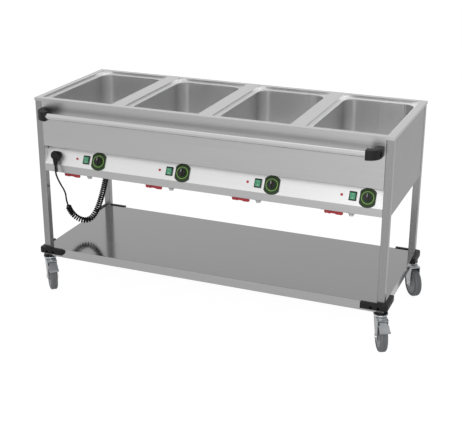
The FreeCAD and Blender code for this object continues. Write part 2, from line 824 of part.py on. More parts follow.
def make_controls():
    thermostats = []
    bezels = []
    frames = []
    lamps = []
    for index in WELLS:
        x = well_x(index, "knob_offset")
        case = panel_box(x, "thermostat_side", "thermostat_side",
                         "-panel_skin - thermostat_deep", "-panel_skin")
        bore = panel_rod(x, "spindle_radius + shaft_fit", "-panel_skin - spindle_long", "overrun")
        thermostats.append(cut(case, bore))
        plate = shared(panel_box(x, "bezel_wide", "2 * bezel_radius", "0", "bezel_tall"),
                       panel_rod(x, "bezel_radius", "0", "bezel_tall"))
        bezels.append(cut(plate, panel_rod(x, "spindle_radius + panel_gap", "-overrun",
                                           "bezel_tall + overrun")))
        skirt = "bezel_tall + knob_gap"
        knob = turned([("0", "-(spindle_long - knob_gap)"),
                       ("spindle_radius", "-(spindle_long - knob_gap)"),
                       ("spindle_radius", skirt), ("knob_skirt_radius", skirt),
                       ("knob_skirt_radius", f"{skirt} + knob_skirt_tall"),
                       ("knob_radius", f"{skirt} + knob_skirt_tall"),
                       ("knob_radius", f"{skirt} + knob_tall - knob_grip_tall"),
                       ("0", f"{skirt} + knob_tall - knob_grip_tall")])
        grip = block(("-knob_grip_wide / 2", "-(knob_radius - knob_gap)", f"{skirt} + knob_skirt_tall"),
                     ("knob_grip_wide / 2", "knob_radius - knob_gap", f"{skirt} + knob_tall"))
        node(place_on_panel(fused(knob, grip), x), f"thermostat_knob_{index + 1}")

        x = well_x(index, "switch_offset")
        rim = panel_box(x, "switch_wide", "switch_tall", "0", "switch_rim")
        sleeve = panel_box(x, "switch_wide - switch_rim", "switch_tall - switch_rim",
                           "-switch_deep", "switch_rim / 2")
        inside = panel_box(x, "switch_wide - switch_rim - 2 * switch_wall",
                           "switch_tall - switch_rim - 2 * switch_wall",
                           "-switch_deep + switch_wall", "switch_rim + overrun")
        frames.append(cut(fused(rim, sleeve), inside))
        half = "(switch_tall - switch_rim) / 2 - switch_wall - rocker_gap"
        wide = "switch_wide - switch_rim - 2 * switch_wall - 2 * rocker_gap"
        drum = rod((f"-({wide}) / 2", "0", "0"), "x", wide, half)
        slab = block((f"-({wide}) / 2", f"-({half})", "-rocker_deep"),
                     (f"({wide}) / 2", half, "rocker_rise"))
        rocker = shared(drum, slab)
        place_on_panel(rocker, x, turn="panel_turn + rocker_tilt")
        node(rocker, f"switch_rocker_{index + 1}")

        x = well_x(index, "lamp_offset")
        lamp = turned([("0", "-lamp_deep"), ("lamp_radius", "-lamp_deep"), ("lamp_radius", "0"),
                       ("lamp_rim", "0"), ("lamp_rim", "lamp_rim_tall"),
                       ("lamp_radius", "lamp_rim_tall"),
                       ("lamp_radius", "(lamp_rim_tall + lamp_tall) / 2"),
                       ("lamp_radius / 2", "lamp_tall"), ("0", "lamp_tall")])
        lamps.append(place_on_panel(lamp, x))
    grouped("thermostats", thermostats)
    grouped("knob_bezels", bezels)
    grouped("switch_frames", frames)
    grouped("indicator_lamps", lamps)


def make_drains():
    pipes = []
    valves = []
    boss_front = "lever_y + lever_wall + lever_gap"
    for index in WELLS:
        pivot = well_x(index, "valve_offset")
        drop = well_x(index, "valve_offset - drop_offset")
        outlet = well_x(index, "valve_offset + outlet_offset")

        def knee(x):
            ball = doc.addObject("Part::Sphere", "knee")
            bind(ball, Radius="pipe_radius")
            return place(ball, x, "pipe_y", "pipe_height")

        inlet = fused(rod((drop, "pipe_y", "pipe_height"), "z", "well_under - pipe_height", "pipe_radius"),
                      knee(drop),
                      rod((drop, "pipe_y", "pipe_height"), "x", "drop_offset - valve_half", "pipe_radius"))
        spout = fused(rod((well_x(index, "valve_offset + valve_half"), "pipe_y", "pipe_height"), "x",
                          "outlet_offset - valve_half", "pipe_radius"),
                      knee(outlet),
                      rod((outlet, "pipe_y", "outlet_foot + tail_long"), "z", "outlet_long - tail_long",
                          "pipe_radius"),
                      rod((outlet, "pipe_y", "outlet_foot"), "z", "outlet_long", "tail_radius"))
        mouth = rod((outlet, "pipe_y", "outlet_foot - overrun"), "z", "outlet_long", "pipe_bore")
        throat = rod((drop, "pipe_y", "pipe_height"), "z", "well_under - pipe_height + overrun",
                     "pipe_bore")
        pipes.append(cut(inlet, throat))
        pipes.append(cut(spout, mouth))
        barrel = rod((f"{pivot} - valve_half", "pipe_y", "pipe_height"), "x", "2 * valve_half",
                     "valve_radius")
        boss = rod((pivot, boss_front, "pipe_height"), "y", f"pipe_y - ({boss_front})",
                   "valve_boss_radius")
        bore = rod((pivot, f"{boss_front} - overrun", "pipe_height"), "y", "stem_deep + overrun",
                   "stem_radius + shaft_fit")
        valves.append(cut(fused(barrel, boss), bore))

        arm = block((f"{pivot} - lever_tail", "lever_y", "pipe_height - lever_wide / 2"),
                    (f"{pivot} + lever_long", "lever_y + lever_wall", "pipe_height + lever_wide / 2"))
        stem = rod((pivot, "lever_y", "pipe_height"), "y", "lever_wall + stem_deep", "stem_radius")
        nut = rod((pivot, "lever_y - nut_tall", "pipe_height"), "y", "nut_tall + lever_wall / 2",
                  "nut_radius")
        node(fused(arm, stem, nut), f"valve_lever_{index + 1}")
    grouped("drain_pipes", pipes)
    grouped("valve_bodies", valves)


def make_mains():
    gland_x, gland_y, gland_z = (str(number) for number in CURL_POINTS[-1])
    back = f"{gland_y} + terminal_back"
    box = block((f"{gland_x} + terminal_offset - terminal_wide / 2", f"{back} - terminal_deep / 2",
                 "tray_top"),
                (f"{gland_x} + terminal_offset + terminal_wide / 2", f"{back} + terminal_deep / 2",
                 "tray_top + terminal_tall"))
    node(box, "terminal_box")
    neck = rod((gland_x, gland_y, "tray_foot - gland_neck_tall"), "z",
               "2 * gland_neck_tall + sheet_wall", "gland_neck_radius")
    nut_above = rod((gland_x, gland_y, "tray_top"), "z", "gland_nut_tall",
                    "gland_nut_radius")
    nut_below = rod((gland_x, gland_y, "tray_foot - gland_nut_tall"), "z", "gland_nut_tall",
                    "gland_nut_radius")
    nose = doc.addObject("Part::Cone", "nose")
    bind(nose, Radius1="2 * cord_radius", Radius2="gland_neck_radius + cord_radius",
         Height=f"tray_foot - gland_nut_tall - ({gland_z})")
    place(nose, gland_x, gland_y, gland_z)
    node(fused(neck, nut_above, nut_below, nose), "cable_gland")

    holder = fused(panel_rod("plug_across", "holder_radius", "0", "plug_face", "plug_along"),
                   panel_rod("plug_across", "holder_cup_radius", "-holder_cup_deep", "plug_face / 2",
                             "plug_along"))
    pins = []
    bores = []
    for side in SIDES:
        x = f"plug_across + {side} * pin_half_pitch"
        pins.append(panel_rod(x, "pin_radius", "plug_face - pin_long", "plug_face + pin_radius",
                              "plug_along"))
        bores.append(panel_rod(x, "pin_radius + panel_gap", "plug_face - pin_long - panel_gap",
                               "plug_face + overrun", "plug_along"))
    strap_x = "plug_across + strap_offset"
    slope_strap = doc.addObject("Part::Box", "strap")
    bind(slope_strap, Length="strap_wide", Width="plug_along", Height="strap_wall")
    place_on_panel(slope_strap, f"{strap_x} - strap_wide / 2", "0")
    lip_strap = block((f"{strap_x} - strap_wide / 2", "front_y - strap_wall", "lip_foot"),
                      (f"{strap_x} + strap_wide / 2", "front_y", "panel_foot + strap_wall"))
    node(cut(fused(holder, slope_strap, lip_strap), *bores), "plug_holder")
    head = panel_rod("plug_across", "plug_radius", "plug_face", "plug_face + plug_deep", "plug_along")
    centre = panel_point(mm("plug_across"), mm("plug_along"), mm("plug_face") + mm("plug_deep") / 2)
    tip = plug_tip()
    reach = tip - centre
    neck = doc.addObject("Part::Feature", "neck")
    neck.Shape = Part.makeCone(mm("plug_neck_root"), mm("plug_neck_tip"), reach.Length, FreeCAD.Vector(),
                               reach)
    neck.Placement = FreeCAD.Placement(centre, FreeCAD.Rotation())
    node(fused(head, neck, *pins), "plug")


def panel_point(x, along, proud):
    y = mm("front_y") + along * mm("panel_sin") - proud * mm("panel_cos")
    z = mm("panel_foot") + along * mm("panel_cos") + proud * mm("panel_sin")
    return FreeCAD.Vector(x, y, z)


def plug_tip():
    """End of the plug's neck: short of the lead's first corner, on the line to it."""
    centre = panel_point(mm("plug_across"), mm("plug_along"), mm("plug_face") + mm("plug_deep") / 2)
    line = LEAD_POINTS[0] - centre
    return centre + line.normalize() * mm("plug_neck_long")


def bend_radius(before, corner, after):
    run_in = corner - before
    run_out = after - corner
    turn = run_in.getAngle(run_out)
    return BEND_SHARE * min(run_in.Length, run_out.Length) / math.tan(turn / 2), turn


def route_edges(points):
    """Straight runs joined by tangent arcs, as edges."""
    edges = []
    start = points[0]
    radii = []
    for before, corner, after in zip(points, points[1:], points[2:]):
        radius, turn = bend_radius(before, corner, after)
        radii.append(radius)
        into = (corner - before).normalize()
        onward = (after - corner).normalize()
        reach = radius * math.tan(turn / 2)
        first = corner - into * reach
        last = corner + onward * reach
        inward = (onward - into).normalize()
        top = corner + inward * (radius / math.cos(turn / 2) - radius)
        edges.append(Part.LineSegment(start, first).toShape())
        edges.append(Part.Arc(first, top, last).toShape())
        start = last
    edges.append(Part.LineSegment(start, points[-1]).toShape())
    return edges, radii


def swept(edges, radius):
    wire = Part.Wire(edges)
    first = edges[0]
    along = first.tangentAt(first.FirstParameter)
    section = Part.Wire([Part.makeCircle(radius, first.valueAt(first.FirstParameter), along)])
    tube = wire.makePipeShell([section], True, False)
    return tube, wire.Length


def biarc(start, leave, finish, arrive):
    """Two arcs that meet smoothly, from one point and direction to another."""
    chord = finish - start
    both = leave + arrive
    bend = 2 * (1 - leave.dot(arrive))
    lean = chord.dot(both)
    reach = (-lean + math.sqrt(lean * lean + bend * chord.dot(chord))) / bend
    knee_in = start + leave * reach
    knee_out = finish - arrive * reach
    joint = (knee_in + knee_out) / 2
    arcs = []
    for near_end, knee, far_end in ((start, knee_in, joint), (joint, knee_out, finish)):
        centre = (near_end + far_end) / 2
        half = (far_end - near_end).Length / 2
        rise = knee - centre
        tall = rise.Length
        sag = half * half / tall * (math.sqrt(1 + tall * tall / (half * half)) - 1)
        arcs.append(Part.Arc(near_end, centre + rise * (sag / tall), far_end))
    return [arc.toShape() for arc in arcs]


class Spine:
    """Line that the curls wind round, measured by its length."""

    def __init__(self, points):
        self.edges, self.radii = route_edges(points)
        self.lengths = [edge.Length for edge in self.edges]
        self.length = sum(self.lengths)
        flat = (points[-1] - points[0]).cross(Z_AXIS)
        self.side = flat.normalize()

    def at(self, distance):
        for edge, length in zip(self.edges, self.lengths):
            if distance <= length or edge is self.edges[-1]:
                break
            distance -= length
        spot = edge.getParameterByLength(min(distance, length))
        return edge.valueAt(spot), edge.tangentAt(spot)


def curl_pitch(share):
    """Pitch along the cord: close wound, opener round the bend and at the top."""
    bend_shares = (0.13, 0.42)
    if share < bend_shares[0]:
        return mm("curl_pitch")
    if share < bend_shares[1]:
        return mm("curl_pitch_bend")
    return mm("curl_pitch_top")


def make_curls(spine):
    """Helix of quarter turns round the spine, drawn in to it at both ends."""
    lead_in = 2 * mm("cord_radius")
    stations = [lead_in]
    steps = 4
    while stations[-1] < spine.length - lead_in:
        stations.append(stations[-1] + curl_pitch(stations[-1] / spine.length) / steps)
    stretch = (spine.length - 2 * lead_in) / (stations[-1] - lead_in)
    stations = [lead_in + (station - lead_in) * stretch for station in stations]
    last = len(stations) - 1

    def helix(turn):
        index = min(int(turn), last - 1)
        part = turn - index
        distance = stations[index] * (1 - part) + stations[index + 1] * part
        point, along = spine.at(distance)
        across = spine.side.cross(along)
        ramp = min(turn, last - turn) / steps
        swell = mm("curl_radius") * (1 - math.cos(math.pi * min(ramp, 1))) / 2
        angle = turn * math.pi / 2
        return point + (across * math.cos(angle) + spine.side * math.sin(angle)) * swell

    nudge_share = 0.01
    points = [helix(turn) for turn in range(last + 1)]
    headings = []
    for turn in range(last + 1):
        ahead = helix(min(turn + nudge_share, last))
        behind = helix(max(turn - nudge_share, 0))
        headings.append((ahead - behind).normalize())
    headings[0] = spine.at(0)[1]
    headings[-1] = spine.at(spine.length)[1]
    edges = [Part.LineSegment(spine.at(0)[0], points[0]).toShape()]
    for turn in range(last):
        edges += biarc(points[turn], headings[turn], points[turn + 1], headings[turn + 1])
    edges.append(Part.LineSegment(points[-1], spine.at(spine.length)[0]).toShape())
    return edges, last / steps


def least_gap(edges, radius, per_edge=4):
    """Least distance between the tube and itself, past one curl's own length."""
    spots = []
    travelled = 0
    for edge in edges:
        for index in range(per_edge):
            span = edge.LastParameter - edge.FirstParameter
            spots.append((travelled + edge.Length * index / per_edge,
                          edge.valueAt(edge.FirstParameter + span * index / per_edge)))
        travelled += edge.Length
    skip = math.pi * mm("curl_radius")
    best = travelled
    for index, (where, spot) in enumerate(spots):
        for other_where, other in spots[index + 1:]:
            if other_where - where > skip:
                best = min(best, (other - spot).Length)
    return best - 2 * radius


def make_cord():
    radius = mm("cord_radius")
    spine = Spine(CURL_POINTS)
    curls, count = make_curls(spine)
    coil, coil_length = swept(curls, radius)
    tip = plug_tip()
    join = CURL_POINTS[0]
    run_in = join + (join - CURL_POINTS[1]).normalize() * mm("lead_run_in")
    edges, radii = route_edges([tip, *LEAD_POINTS, run_in, join])
    lead, lead_length = swept(edges, radius)
    print("lead bend radii", [round(value, 1) for value in radii])
    print("curl line radii", [round(value, 1) for value in spine.radii])
    print("curls", count, "least gap", round(least_gap(curls, radius), 3))
    section = math.pi * radius * radius
    for label, shape, length in (("cord_coil", coil, coil_length), ("cord_lead", lead, lead_length)):
        print(label, "length", round(length, 1), "volume share", round(shape.Volume / (section * length), 4))
        feature = doc.addObject("Part::Feature", label)
        feature.Shape = shape
        feature.Placement = FreeCAD.Placement()
        node(feature, label)


def make_stems():
    stems = []
    for side, end in CORNERS:
        x = f"{side} * (leg_out_x - caster_inset)"
        y = f"{end} * (leg_out_y - caster_inset)"
        half = "leg_side / 2 - leg_wall - stem_clearance"
        plug = block((f"{x} - ({half})", f"{y} - ({half})", "shelf_foot - top_plate_tall / 2"),
                     (f"{x} + {half}", f"{y} + {half}", "shelf_foot + stem_tall"))
        plate = rod((x, y, "shelf_foot - top_plate_tall"), "z", "top_plate_tall", "top_plate_radius")
        pin = rod((x, y, "crown_z - fork_crown"), "z", "shelf_foot - crown_z + fork_crown",
                  "kingpin_radius")
        stems.append(fused(plug, plate, pin))
    grouped("caster_stems", stems)


def make_caster(name, side, end, swing, braked):
    """One caster, drawn with its trail along X and its axle along Y, then swung round."""
    spot = (f"{side} * (leg_out_x - caster_inset)", f"{end} * (leg_out_y - caster_inset)", "0")
    turn = f"{swing} - 90"

    def swung(thing, label):
        return node(place(thing, *spot, Z_AXIS, turn), f"{label}_{name}")

    cheek = [("-fork_front", "crown_z"), ("-fork_front", "crown_z - fork_ear_drop"),
             ("caster_trail - fork_foot", "axle_z - fork_foot"),
             ("caster_trail + fork_foot", "axle_z - fork_foot"),
             ("fork_ear", "crown_z - fork_ear_drop"), ("fork_ear", "crown_z")]
    plate = padded("XZ_Plane", cheek, "2 * fork_half")
    place(plate, y="fork_half")
    slot = block(("-fork_front - overrun", "-fork_half + fork_wall", "-overrun"),
                 ("fork_ear + caster_trail + fork_foot", "fork_half - fork_wall", "crown_z - fork_crown"))
    raceway = rod(("0", "0", "crown_z - fork_crown"), "z",
                  "fork_crown_drop + fork_crown - bearing_gap", "raceway_radius")
    kingpin = rod(("0", "0", "crown_z - fork_crown - overrun"), "z", "fork_crown_drop + 2 * fork_crown",
                  "kingpin_radius + shaft_fit")
    axle_bore = rod(("caster_trail", "-fork_half - overrun", "axle_z"), "y",
                    "2 * fork_half + 2 * overrun", "axle_radius + shaft_fit")
    tools = [kingpin, axle_bore]
    pin_x = "pedal_pin_forward"
    pin_z = "crown_z - pedal_pin_drop"
    if braked:
        tools.append(rod((pin_x, "-fork_half - overrun", pin_z), "y", "2 * fork_half + 2 * overrun",
                         "pedal_pin_radius + shaft_fit"))
    swung(cut(fused(cut(plate, slot), raceway), *tools), "caster_fork")

    shaft = rod(("caster_trail", "-fork_half - axle_head_tall", "axle_z"), "y",
                "2 * fork_half + 2 * axle_head_tall", "axle_radius")
    heads = [rod(("caster_trail", start, "axle_z"), "y", "axle_head_tall", "axle_head_radius")
             for start in ("-fork_half - axle_head_tall", "fork_half")]
    swung(fused(shaft, *heads), "wheel_axle")

    def upright_wheel(body):
        place(body, "caster_trail", "0", "axle_z", X_AXIS, "90")
        return held(body)

    centre = turned([("axle_radius + shaft_fit", "-hub_wide / 2"), ("hub_radius", "-hub_wide / 2"),
                     ("hub_radius", "-web_wide / 2"), ("rim_radius - rim_deep", "-web_wide / 2"),
                     ("rim_radius - rim_deep", "-rim_wide / 2"), ("rim_radius", "-rim_wide / 2"),
                     ("rim_radius", "rim_wide / 2"), ("rim_radius - rim_deep", "rim_wide / 2"),
                     ("rim_radius - rim_deep", "web_wide / 2"), ("hub_radius", "web_wide / 2"),
                     ("hub_radius", "hub_wide / 2"), ("axle_radius + shaft_fit", "hub_wide / 2")])
    swung(upright_wheel(centre), "wheel_centre")
    tyre = turned([("rim_radius", "-tyre_wide / 2"), ("wheel_radius", "-tyre_wide / 2"),
                   ("wheel_radius", "tyre_wide / 2"), ("rim_radius", "tyre_wide / 2")])
    rounded(tyre, "tyre_shoulder_radius", lambda edge: near(edge.Curve.Radius, mm("wheel_radius"))
            if isinstance(edge.Curve, Part.Circle) else False)
    swung(upright_wheel(tyre), "tyre")

    if braked:
        barrel = rod(("0", "-pedal_root_wide / 2", "0"), "y", "pedal_root_wide", "pedal_barrel_radius")
        pin = rod(("0", "-fork_half", "0"), "y", "2 * fork_half", "pedal_pin_radius")
        root = block(("0", "-pedal_root_wide / 2", "0"),
                     ("pedal_root_long", "pedal_root_wide / 2", "pedal_wall"))
        tongue = block(("pedal_root_long - overrun", "-pedal_wide / 2", "0"),
                       ("pedal_long", "pedal_wide / 2", "pedal_wall"))
        lip = block(("pedal_long - pedal_wall", "-pedal_wide / 2", "0"),
                    ("pedal_long", "pedal_wide / 2", "pedal_lip"))
        pedal = fused(barrel, pin, root, tongue, lip)
        place(pedal, pin_x, "0", pin_z, Y_AXIS, "pedal_slope")
        swung(held(pedal), "brake_pedal")


make_deck()
make_basins()
make_cabinet()
make_control_panel()
make_legs()
make_shelf()
grouped("fixing_screws", make_bumpers() + make_handle())
make_heating()
make_controls()
make_drains()
make_mains()
make_cord()
make_stems()
make_caster("front_left", -1, -1, "front_left_swing", True)
make_caster("front_right", 1, -1, "front_right_swing", True)
make_caster("rear_right", 1, 1, "rear_right_swing", False)
make_caster("rear_left", -1, 1, "rear_left_swing", False)
doc.recompute()

for thing in doc.Objects:
    if "Invalid" in thing.State or "Error" in thing.State:
        raise RuntimeError(f"{thing.Name} {thing.Label} did not compute: {thing.State}")
for thing in NODES:
    if thing.Shape.isNull() or not thing.Shape.isValid() or not thing.Shape.Solids:
        raise RuntimeError(f"{thing.Label} has no valid shape")

os.makedirs("parts", exist_ok=True)
for thing in NODES:
    thing.Shape.exportStep(f"parts/{thing.Label}.step")
    print(thing.Label, len(thing.Shape.Solids), "solids", round(thing.Shape.Volume), "mm3")
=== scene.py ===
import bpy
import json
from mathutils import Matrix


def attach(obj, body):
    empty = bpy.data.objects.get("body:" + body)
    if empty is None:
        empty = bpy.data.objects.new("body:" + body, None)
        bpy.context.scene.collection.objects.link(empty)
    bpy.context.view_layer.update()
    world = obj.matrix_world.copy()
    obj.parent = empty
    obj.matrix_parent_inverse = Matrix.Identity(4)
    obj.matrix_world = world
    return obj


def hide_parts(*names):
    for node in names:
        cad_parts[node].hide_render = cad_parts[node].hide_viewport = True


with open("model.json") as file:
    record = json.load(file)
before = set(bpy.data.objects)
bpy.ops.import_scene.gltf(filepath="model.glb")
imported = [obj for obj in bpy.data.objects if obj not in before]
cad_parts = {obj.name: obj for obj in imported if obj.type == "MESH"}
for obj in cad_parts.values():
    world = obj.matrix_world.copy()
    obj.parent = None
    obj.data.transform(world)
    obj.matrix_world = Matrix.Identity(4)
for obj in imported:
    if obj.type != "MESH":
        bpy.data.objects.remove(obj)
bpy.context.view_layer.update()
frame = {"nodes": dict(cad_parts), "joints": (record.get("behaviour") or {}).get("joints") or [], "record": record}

# %% [markdown]
# A mobile bain marie is a steel trolley with four heated water wells. All the rigid
# solids come from the CAD frame, in metres, so this lesson gives them their finishes,
# makes the small parts that a solid model leaves plain, and sets up a soft studio.

# %% Modules and small helpers
import json
import math

import bmesh
import bpy
from mathutils import Matrix, Vector

MM = 0.001
solids = frame["nodes"]
scene = bpy.context.scene
scene.view_settings.view_transform = "Standard"


def linear(hex_code):
    """Linear RGBA of an sRGB hex colour."""
    shares = [int(hex_code[start:start + 2], 16) / 255 for start in (1, 3, 5)]
    return (*(share / 12.92 if share <= 0.04045 else ((share + 0.055) / 1.055) ** 2.4
              for share in shares), 1.0)


def add(tree, kind, sockets=None, **settings):
    """One shader node: its settings, then its sockets, each a value or a link."""
    made = tree.nodes.new(kind)
    for name, value in settings.items():
        setattr(made, name, value)
    for name, value in (sockets or {}).items():
        if isinstance(value, bpy.types.NodeSocket):
            tree.links.new(value, made.inputs[name])
        else:
            made.inputs[name].default_value = value
    return made


print("white is", linear("#FFFFFF"))

# %% [markdown]
# The frame gives the place and axis of every joint, so pieces are placed from those. The panel
# slopes, so it gets its own two directions: out of it, and up along it. Its foot is found from
# the first knob, which stands 37 mm up the slope.

# %% Places from the frame
X_AXIS, Y_AXIS, Z_AXIS = (Vector(axis) for axis in ((1, 0, 0), (0, 1, 0), (0, 0, 1)))
SIDES = (-1, 1)
WELL_NUMBERS = (1, 2, 3, 4)
CASTERS = ("front_left", "front_right", "rear_right", "rear_left")
BRAKED_CASTERS = CASTERS[:2]
CONTROL_ALONG = 37.0
PLUG_X = -0.692
joints = {row["name"]: row for row in frame["joints"]}


def joint_spot(name):
    return Vector(joints[name]["pos_m"])


panel_out = -Vector(joints["knob_turn_1"]["axis"])
panel_up = panel_out.cross(X_AXIS)
plug_spot = joint_spot("knob_turn_1")
plug_spot.x = PLUG_X
panel_foot = plug_spot - panel_up * CONTROL_ALONG * MM
print("panel foot under the plug", [round(value, 4) for value in panel_foot])

# %% [markdown]
# The camera stands where the photograph was taken from. Its place, tilt and focal length were
# fitted to the trolley's corners, so the frame of 462 by 421 pixels shows the same view.
# Three angles say more to a reader than a matrix of nine numbers, so the matrix is built
# from them: a turn round the upright, a rise above the floor and a small roll.

# %% Camera
EYE = Vector((1.55521, -3.83372, 1.94882))
TURN, RISE, ROLL = (math.radians(angle) for angle in (22.01, 20.80, 0.17))
FOCAL_PIXELS = 1002.62
FRAME_PIXELS = 462
SENSOR_WIDTH = 36.0

back = Vector((math.sin(TURN) * math.cos(RISE), -math.cos(TURN) * math.cos(RISE), math.sin(RISE)))
level = Vector((math.cos(TURN), math.sin(TURN), 0))
upward = back.cross(level)
across = level * math.cos(ROLL) + upward * math.sin(ROLL)
upward = upward * math.cos(ROLL) - level * math.sin(ROLL)
camera = bpy.data.objects.new("camera", bpy.data.cameras.new("camera"))
camera.data.sensor_width = SENSOR_WIDTH
camera.data.lens = FOCAL_PIXELS / FRAME_PIXELS * SENSOR_WIDTH
camera.matrix_world = Matrix.Translation(EYE) @ Matrix((across, upward, back)).transposed().to_4x4()
scene.collection.objects.link(camera)
scene.camera = camera
print("lens", round(camera.data.lens, 2), "mm")

# %% [markdown]
# Steel shows its surroundings, so the studio matters as much as the steel. The room is
# white for the camera and for reflections, and dimmer for the light that it sheds, so
# that the soft boxes shape the object and colours come out about as they are written.

# %% Room
ROOM_SHED, ROOM_SEEN = 0.42, 1.0
room = bpy.data.worlds.new("white_room")
scene.world = room
room.use_nodes = True
tree = room.node_tree
tree.nodes.clear()
path = add(tree, "ShaderNodeLightPath")
seen = add(tree, "ShaderNodeMath", {0: path.outputs["Is Camera Ray"], 1: path.outputs["Is Glossy Ray"]},
           operation="MAXIMUM")
seen = add(tree, "ShaderNodeMath", {0: seen.outputs[0], 1: path.outputs["Is Transmission Ray"]},
           operation="MAXIMUM")
shed = add(tree, "ShaderNodeBackground", {"Color": linear("#FFFFFF"), "Strength": ROOM_SHED})
shown = add(tree, "ShaderNodeBackground", {"Color": linear("#FFFFFF"), "Strength": ROOM_SEEN})
mixed = add(tree, "ShaderNodeMixShader", {0: seen.outputs[0], 1: shed.outputs[0], 2: shown.outputs[0]})
add(tree, "ShaderNodeOutputWorld", {"Surface": mixed.outputs[0]})
print("room sheds", ROOM_SHED, "and shows", ROOM_SEEN)

# %% [markdown]
# The floor is matt white paper, so wide that its edge is out of the way. Paper alone would look
# grey under gentle lamps. More light would burn out the steel, so a share of the floor glows
# instead, and only for the camera and for reflections. The rest of it keeps the shadow.

# %% Floor
FLOOR_HALF = 20.0
SEEN_GLOW, MIRRORED_GLOW, GLOW_LEVEL = 0.78, 0.45, 1.2
floor_mesh = bpy.data.meshes.new("floor")
corners = [(x * FLOOR_HALF, y * FLOOR_HALF, 0) for x, y in ((-1, -1), (1, -1), (1, 1), (-1, 1))]
floor_mesh.from_pydata(corners, [], [range(len(corners))])
floor = bpy.data.objects.new("floor", floor_mesh)
scene.collection.objects.link(floor)
paper = bpy.data.materials.new("matt_white_paper")
paper.use_nodes = True
tree = paper.node_tree
tree.nodes.clear()
path = add(tree, "ShaderNodeLightPath")
seen = add(tree, "ShaderNodeMath", {0: path.outputs["Is Camera Ray"], 1: SEEN_GLOW}, operation="MULTIPLY")
share = add(tree, "ShaderNodeMath", {0: path.outputs["Is Glossy Ray"], 1: MIRRORED_GLOW, 2: seen.outputs[0]},
            operation="MULTIPLY_ADD")
matt = add(tree, "ShaderNodeBsdfDiffuse", {"Color": linear("#F4F4F4")})
glow = add(tree, "ShaderNodeEmission", {"Color": linear("#FFFFFF"), "Strength": GLOW_LEVEL})
mixed = add(tree, "ShaderNodeMixShader", {0: share.outputs[0], 1: matt.outputs[0], 2: glow.outputs[0]})
add(tree, "ShaderNodeOutputMaterial", {"Surface": mixed.outputs[0]})
floor_mesh.materials.append(paper)
print("floor", 2 * FLOOR_HALF, "m wide")

# %% [markdown]
# Two large soft boxes do the rest. The front one stands to the right, so the apron and the panel
# grow brighter towards their right ends. The one overhead is faint: deck and wells mirror it, and
# from above they would burn out to white under a strong lamp.

# %% Soft boxes


def soft_box(name, spot, aim, wide, tall, watts):
    lamp = bpy.data.lights.new(name, "AREA")
    lamp.shape = "RECTANGLE"
    lamp.size = wide
    lamp.size_y = tall
    lamp.energy = watts
    box = bpy.data.objects.new(name, lamp)
    box.location = spot
    box.rotation_euler = (Vector(aim) - Vector(spot)).to_track_quat("-Z", "Y").to_euler()
    scene.collection.objects.link(box)


soft_box("front_box", spot=(1.7, -4.0, 1.6), aim=(0.3, 0, 0.5), wide=3.4, tall=2.8, watts=60)
soft_box("top_box", spot=(0.2, 0.4, 3.6), aim=(0, 0, 0.6), wide=3.2, tall=2.6, watts=8)

# %% [markdown]
# The mains cord is a curly lead. It leaves the gland under the cabinet, hangs in one loop
# of some forty curls, and its straight end goes up to the plug, which is parked on the
# panel. The line that the curls follow is a smooth spline through the same points as in
# the CAD source, in an upright plane that is turned from the front by its heading.

# %% Line of the curls
CORD_RADIUS = 0.0037
CURL_FOOT, CURL_HEADING = (-63.0, 171.0), math.radians(35)
CURL_LINE = [(1, -247), (6, -269), (17, -292), (32, -312), (48, -325), (64, -333), (80, -336), (96, -333),
             (110, -324), (122, -309), (133, -290), (143, -268), (152, -243), (160, -217), (168, -190),
             (175, -163), (181, -136), (186, -109), (189, -83), (191, -60), (191, -38)]
SPLINE_ORDER, GUIDE_FINENESS = 3, 24


def from_foot(x, y, z):
    """Place so many millimetres from the panel's foot under the plug."""
    return panel_foot + Vector((x, y, z)) * MM


curl_route = [from_foot(CURL_FOOT[0] + along * math.cos(CURL_HEADING),
                        CURL_FOOT[1] + along * math.sin(CURL_HEADING), height)
              for along, height in CURL_LINE]


def smooth_line(name, points, fineness):
    """Open spline that the points steer."""
    line = bpy.data.curves.new(name, "CURVE")
    line.dimensions = "3D"
    line.resolution_u = fineness
    spline = line.splines.new("NURBS")
    spline.points.add(len(points) - 1)
    for control, spot in zip(spline.points, points):
        control.co = (*spot, 1)
        control.radius = CORD_RADIUS
    spline.order_u = SPLINE_ORDER
    spline.use_endpoint_u = True
    piece = bpy.data.objects.new(name, line)
    scene.collection.objects.link(piece)
    return piece


guide = smooth_line("curl_guide", curl_route, GUIDE_FINENESS)
guide_mesh = bpy.data.meshes.new_from_object(guide)
guide_points = [vertex.co.copy() for vertex in guide_mesh.vertices]
bpy.data.objects.remove(guide)
guide_steps = [(after - before).length for before, after in zip(guide_points, guide_points[1:])]
guide_length = sum(guide_steps)
print("line of the curls", round(guide_length, 3), "m in", len(guide_points), "points")

# %% [markdown]
# The curls are a helix along that line, twelve points to a turn, and they open a little where the
# line bends. The first and last turns swell from nothing to the full width, so the helix runs
# smoothly into the straight ends. A helix could be a modifier on a short piece of cord, but one
# spline from end to end keeps the cord a single length, as the real one is.

# %% Curls
CURL_RADIUS = 0.0104
CURL_PITCH, BEND_PITCH, TOP_PITCH = 0.009, 0.011, 0.0102
BEND_SHARES = (0.13, 0.42)
POINTS_PER_CURL = 12
OWN_POINT_SHARE = 0.75


def on_guide(distance):
    """Place and direction at a distance along the line of the curls."""
    for start, finish, step in zip(guide_points, guide_points[1:], guide_steps):
        if distance <= step:
            break
        distance -= step
    return start.lerp(finish, min(distance / step, 1)), (finish - start).normalized()


def pitch_at(share):
    if share < BEND_SHARES[0]:
        return CURL_PITCH
    return BEND_PITCH if share < BEND_SHARES[1] else TOP_PITCH


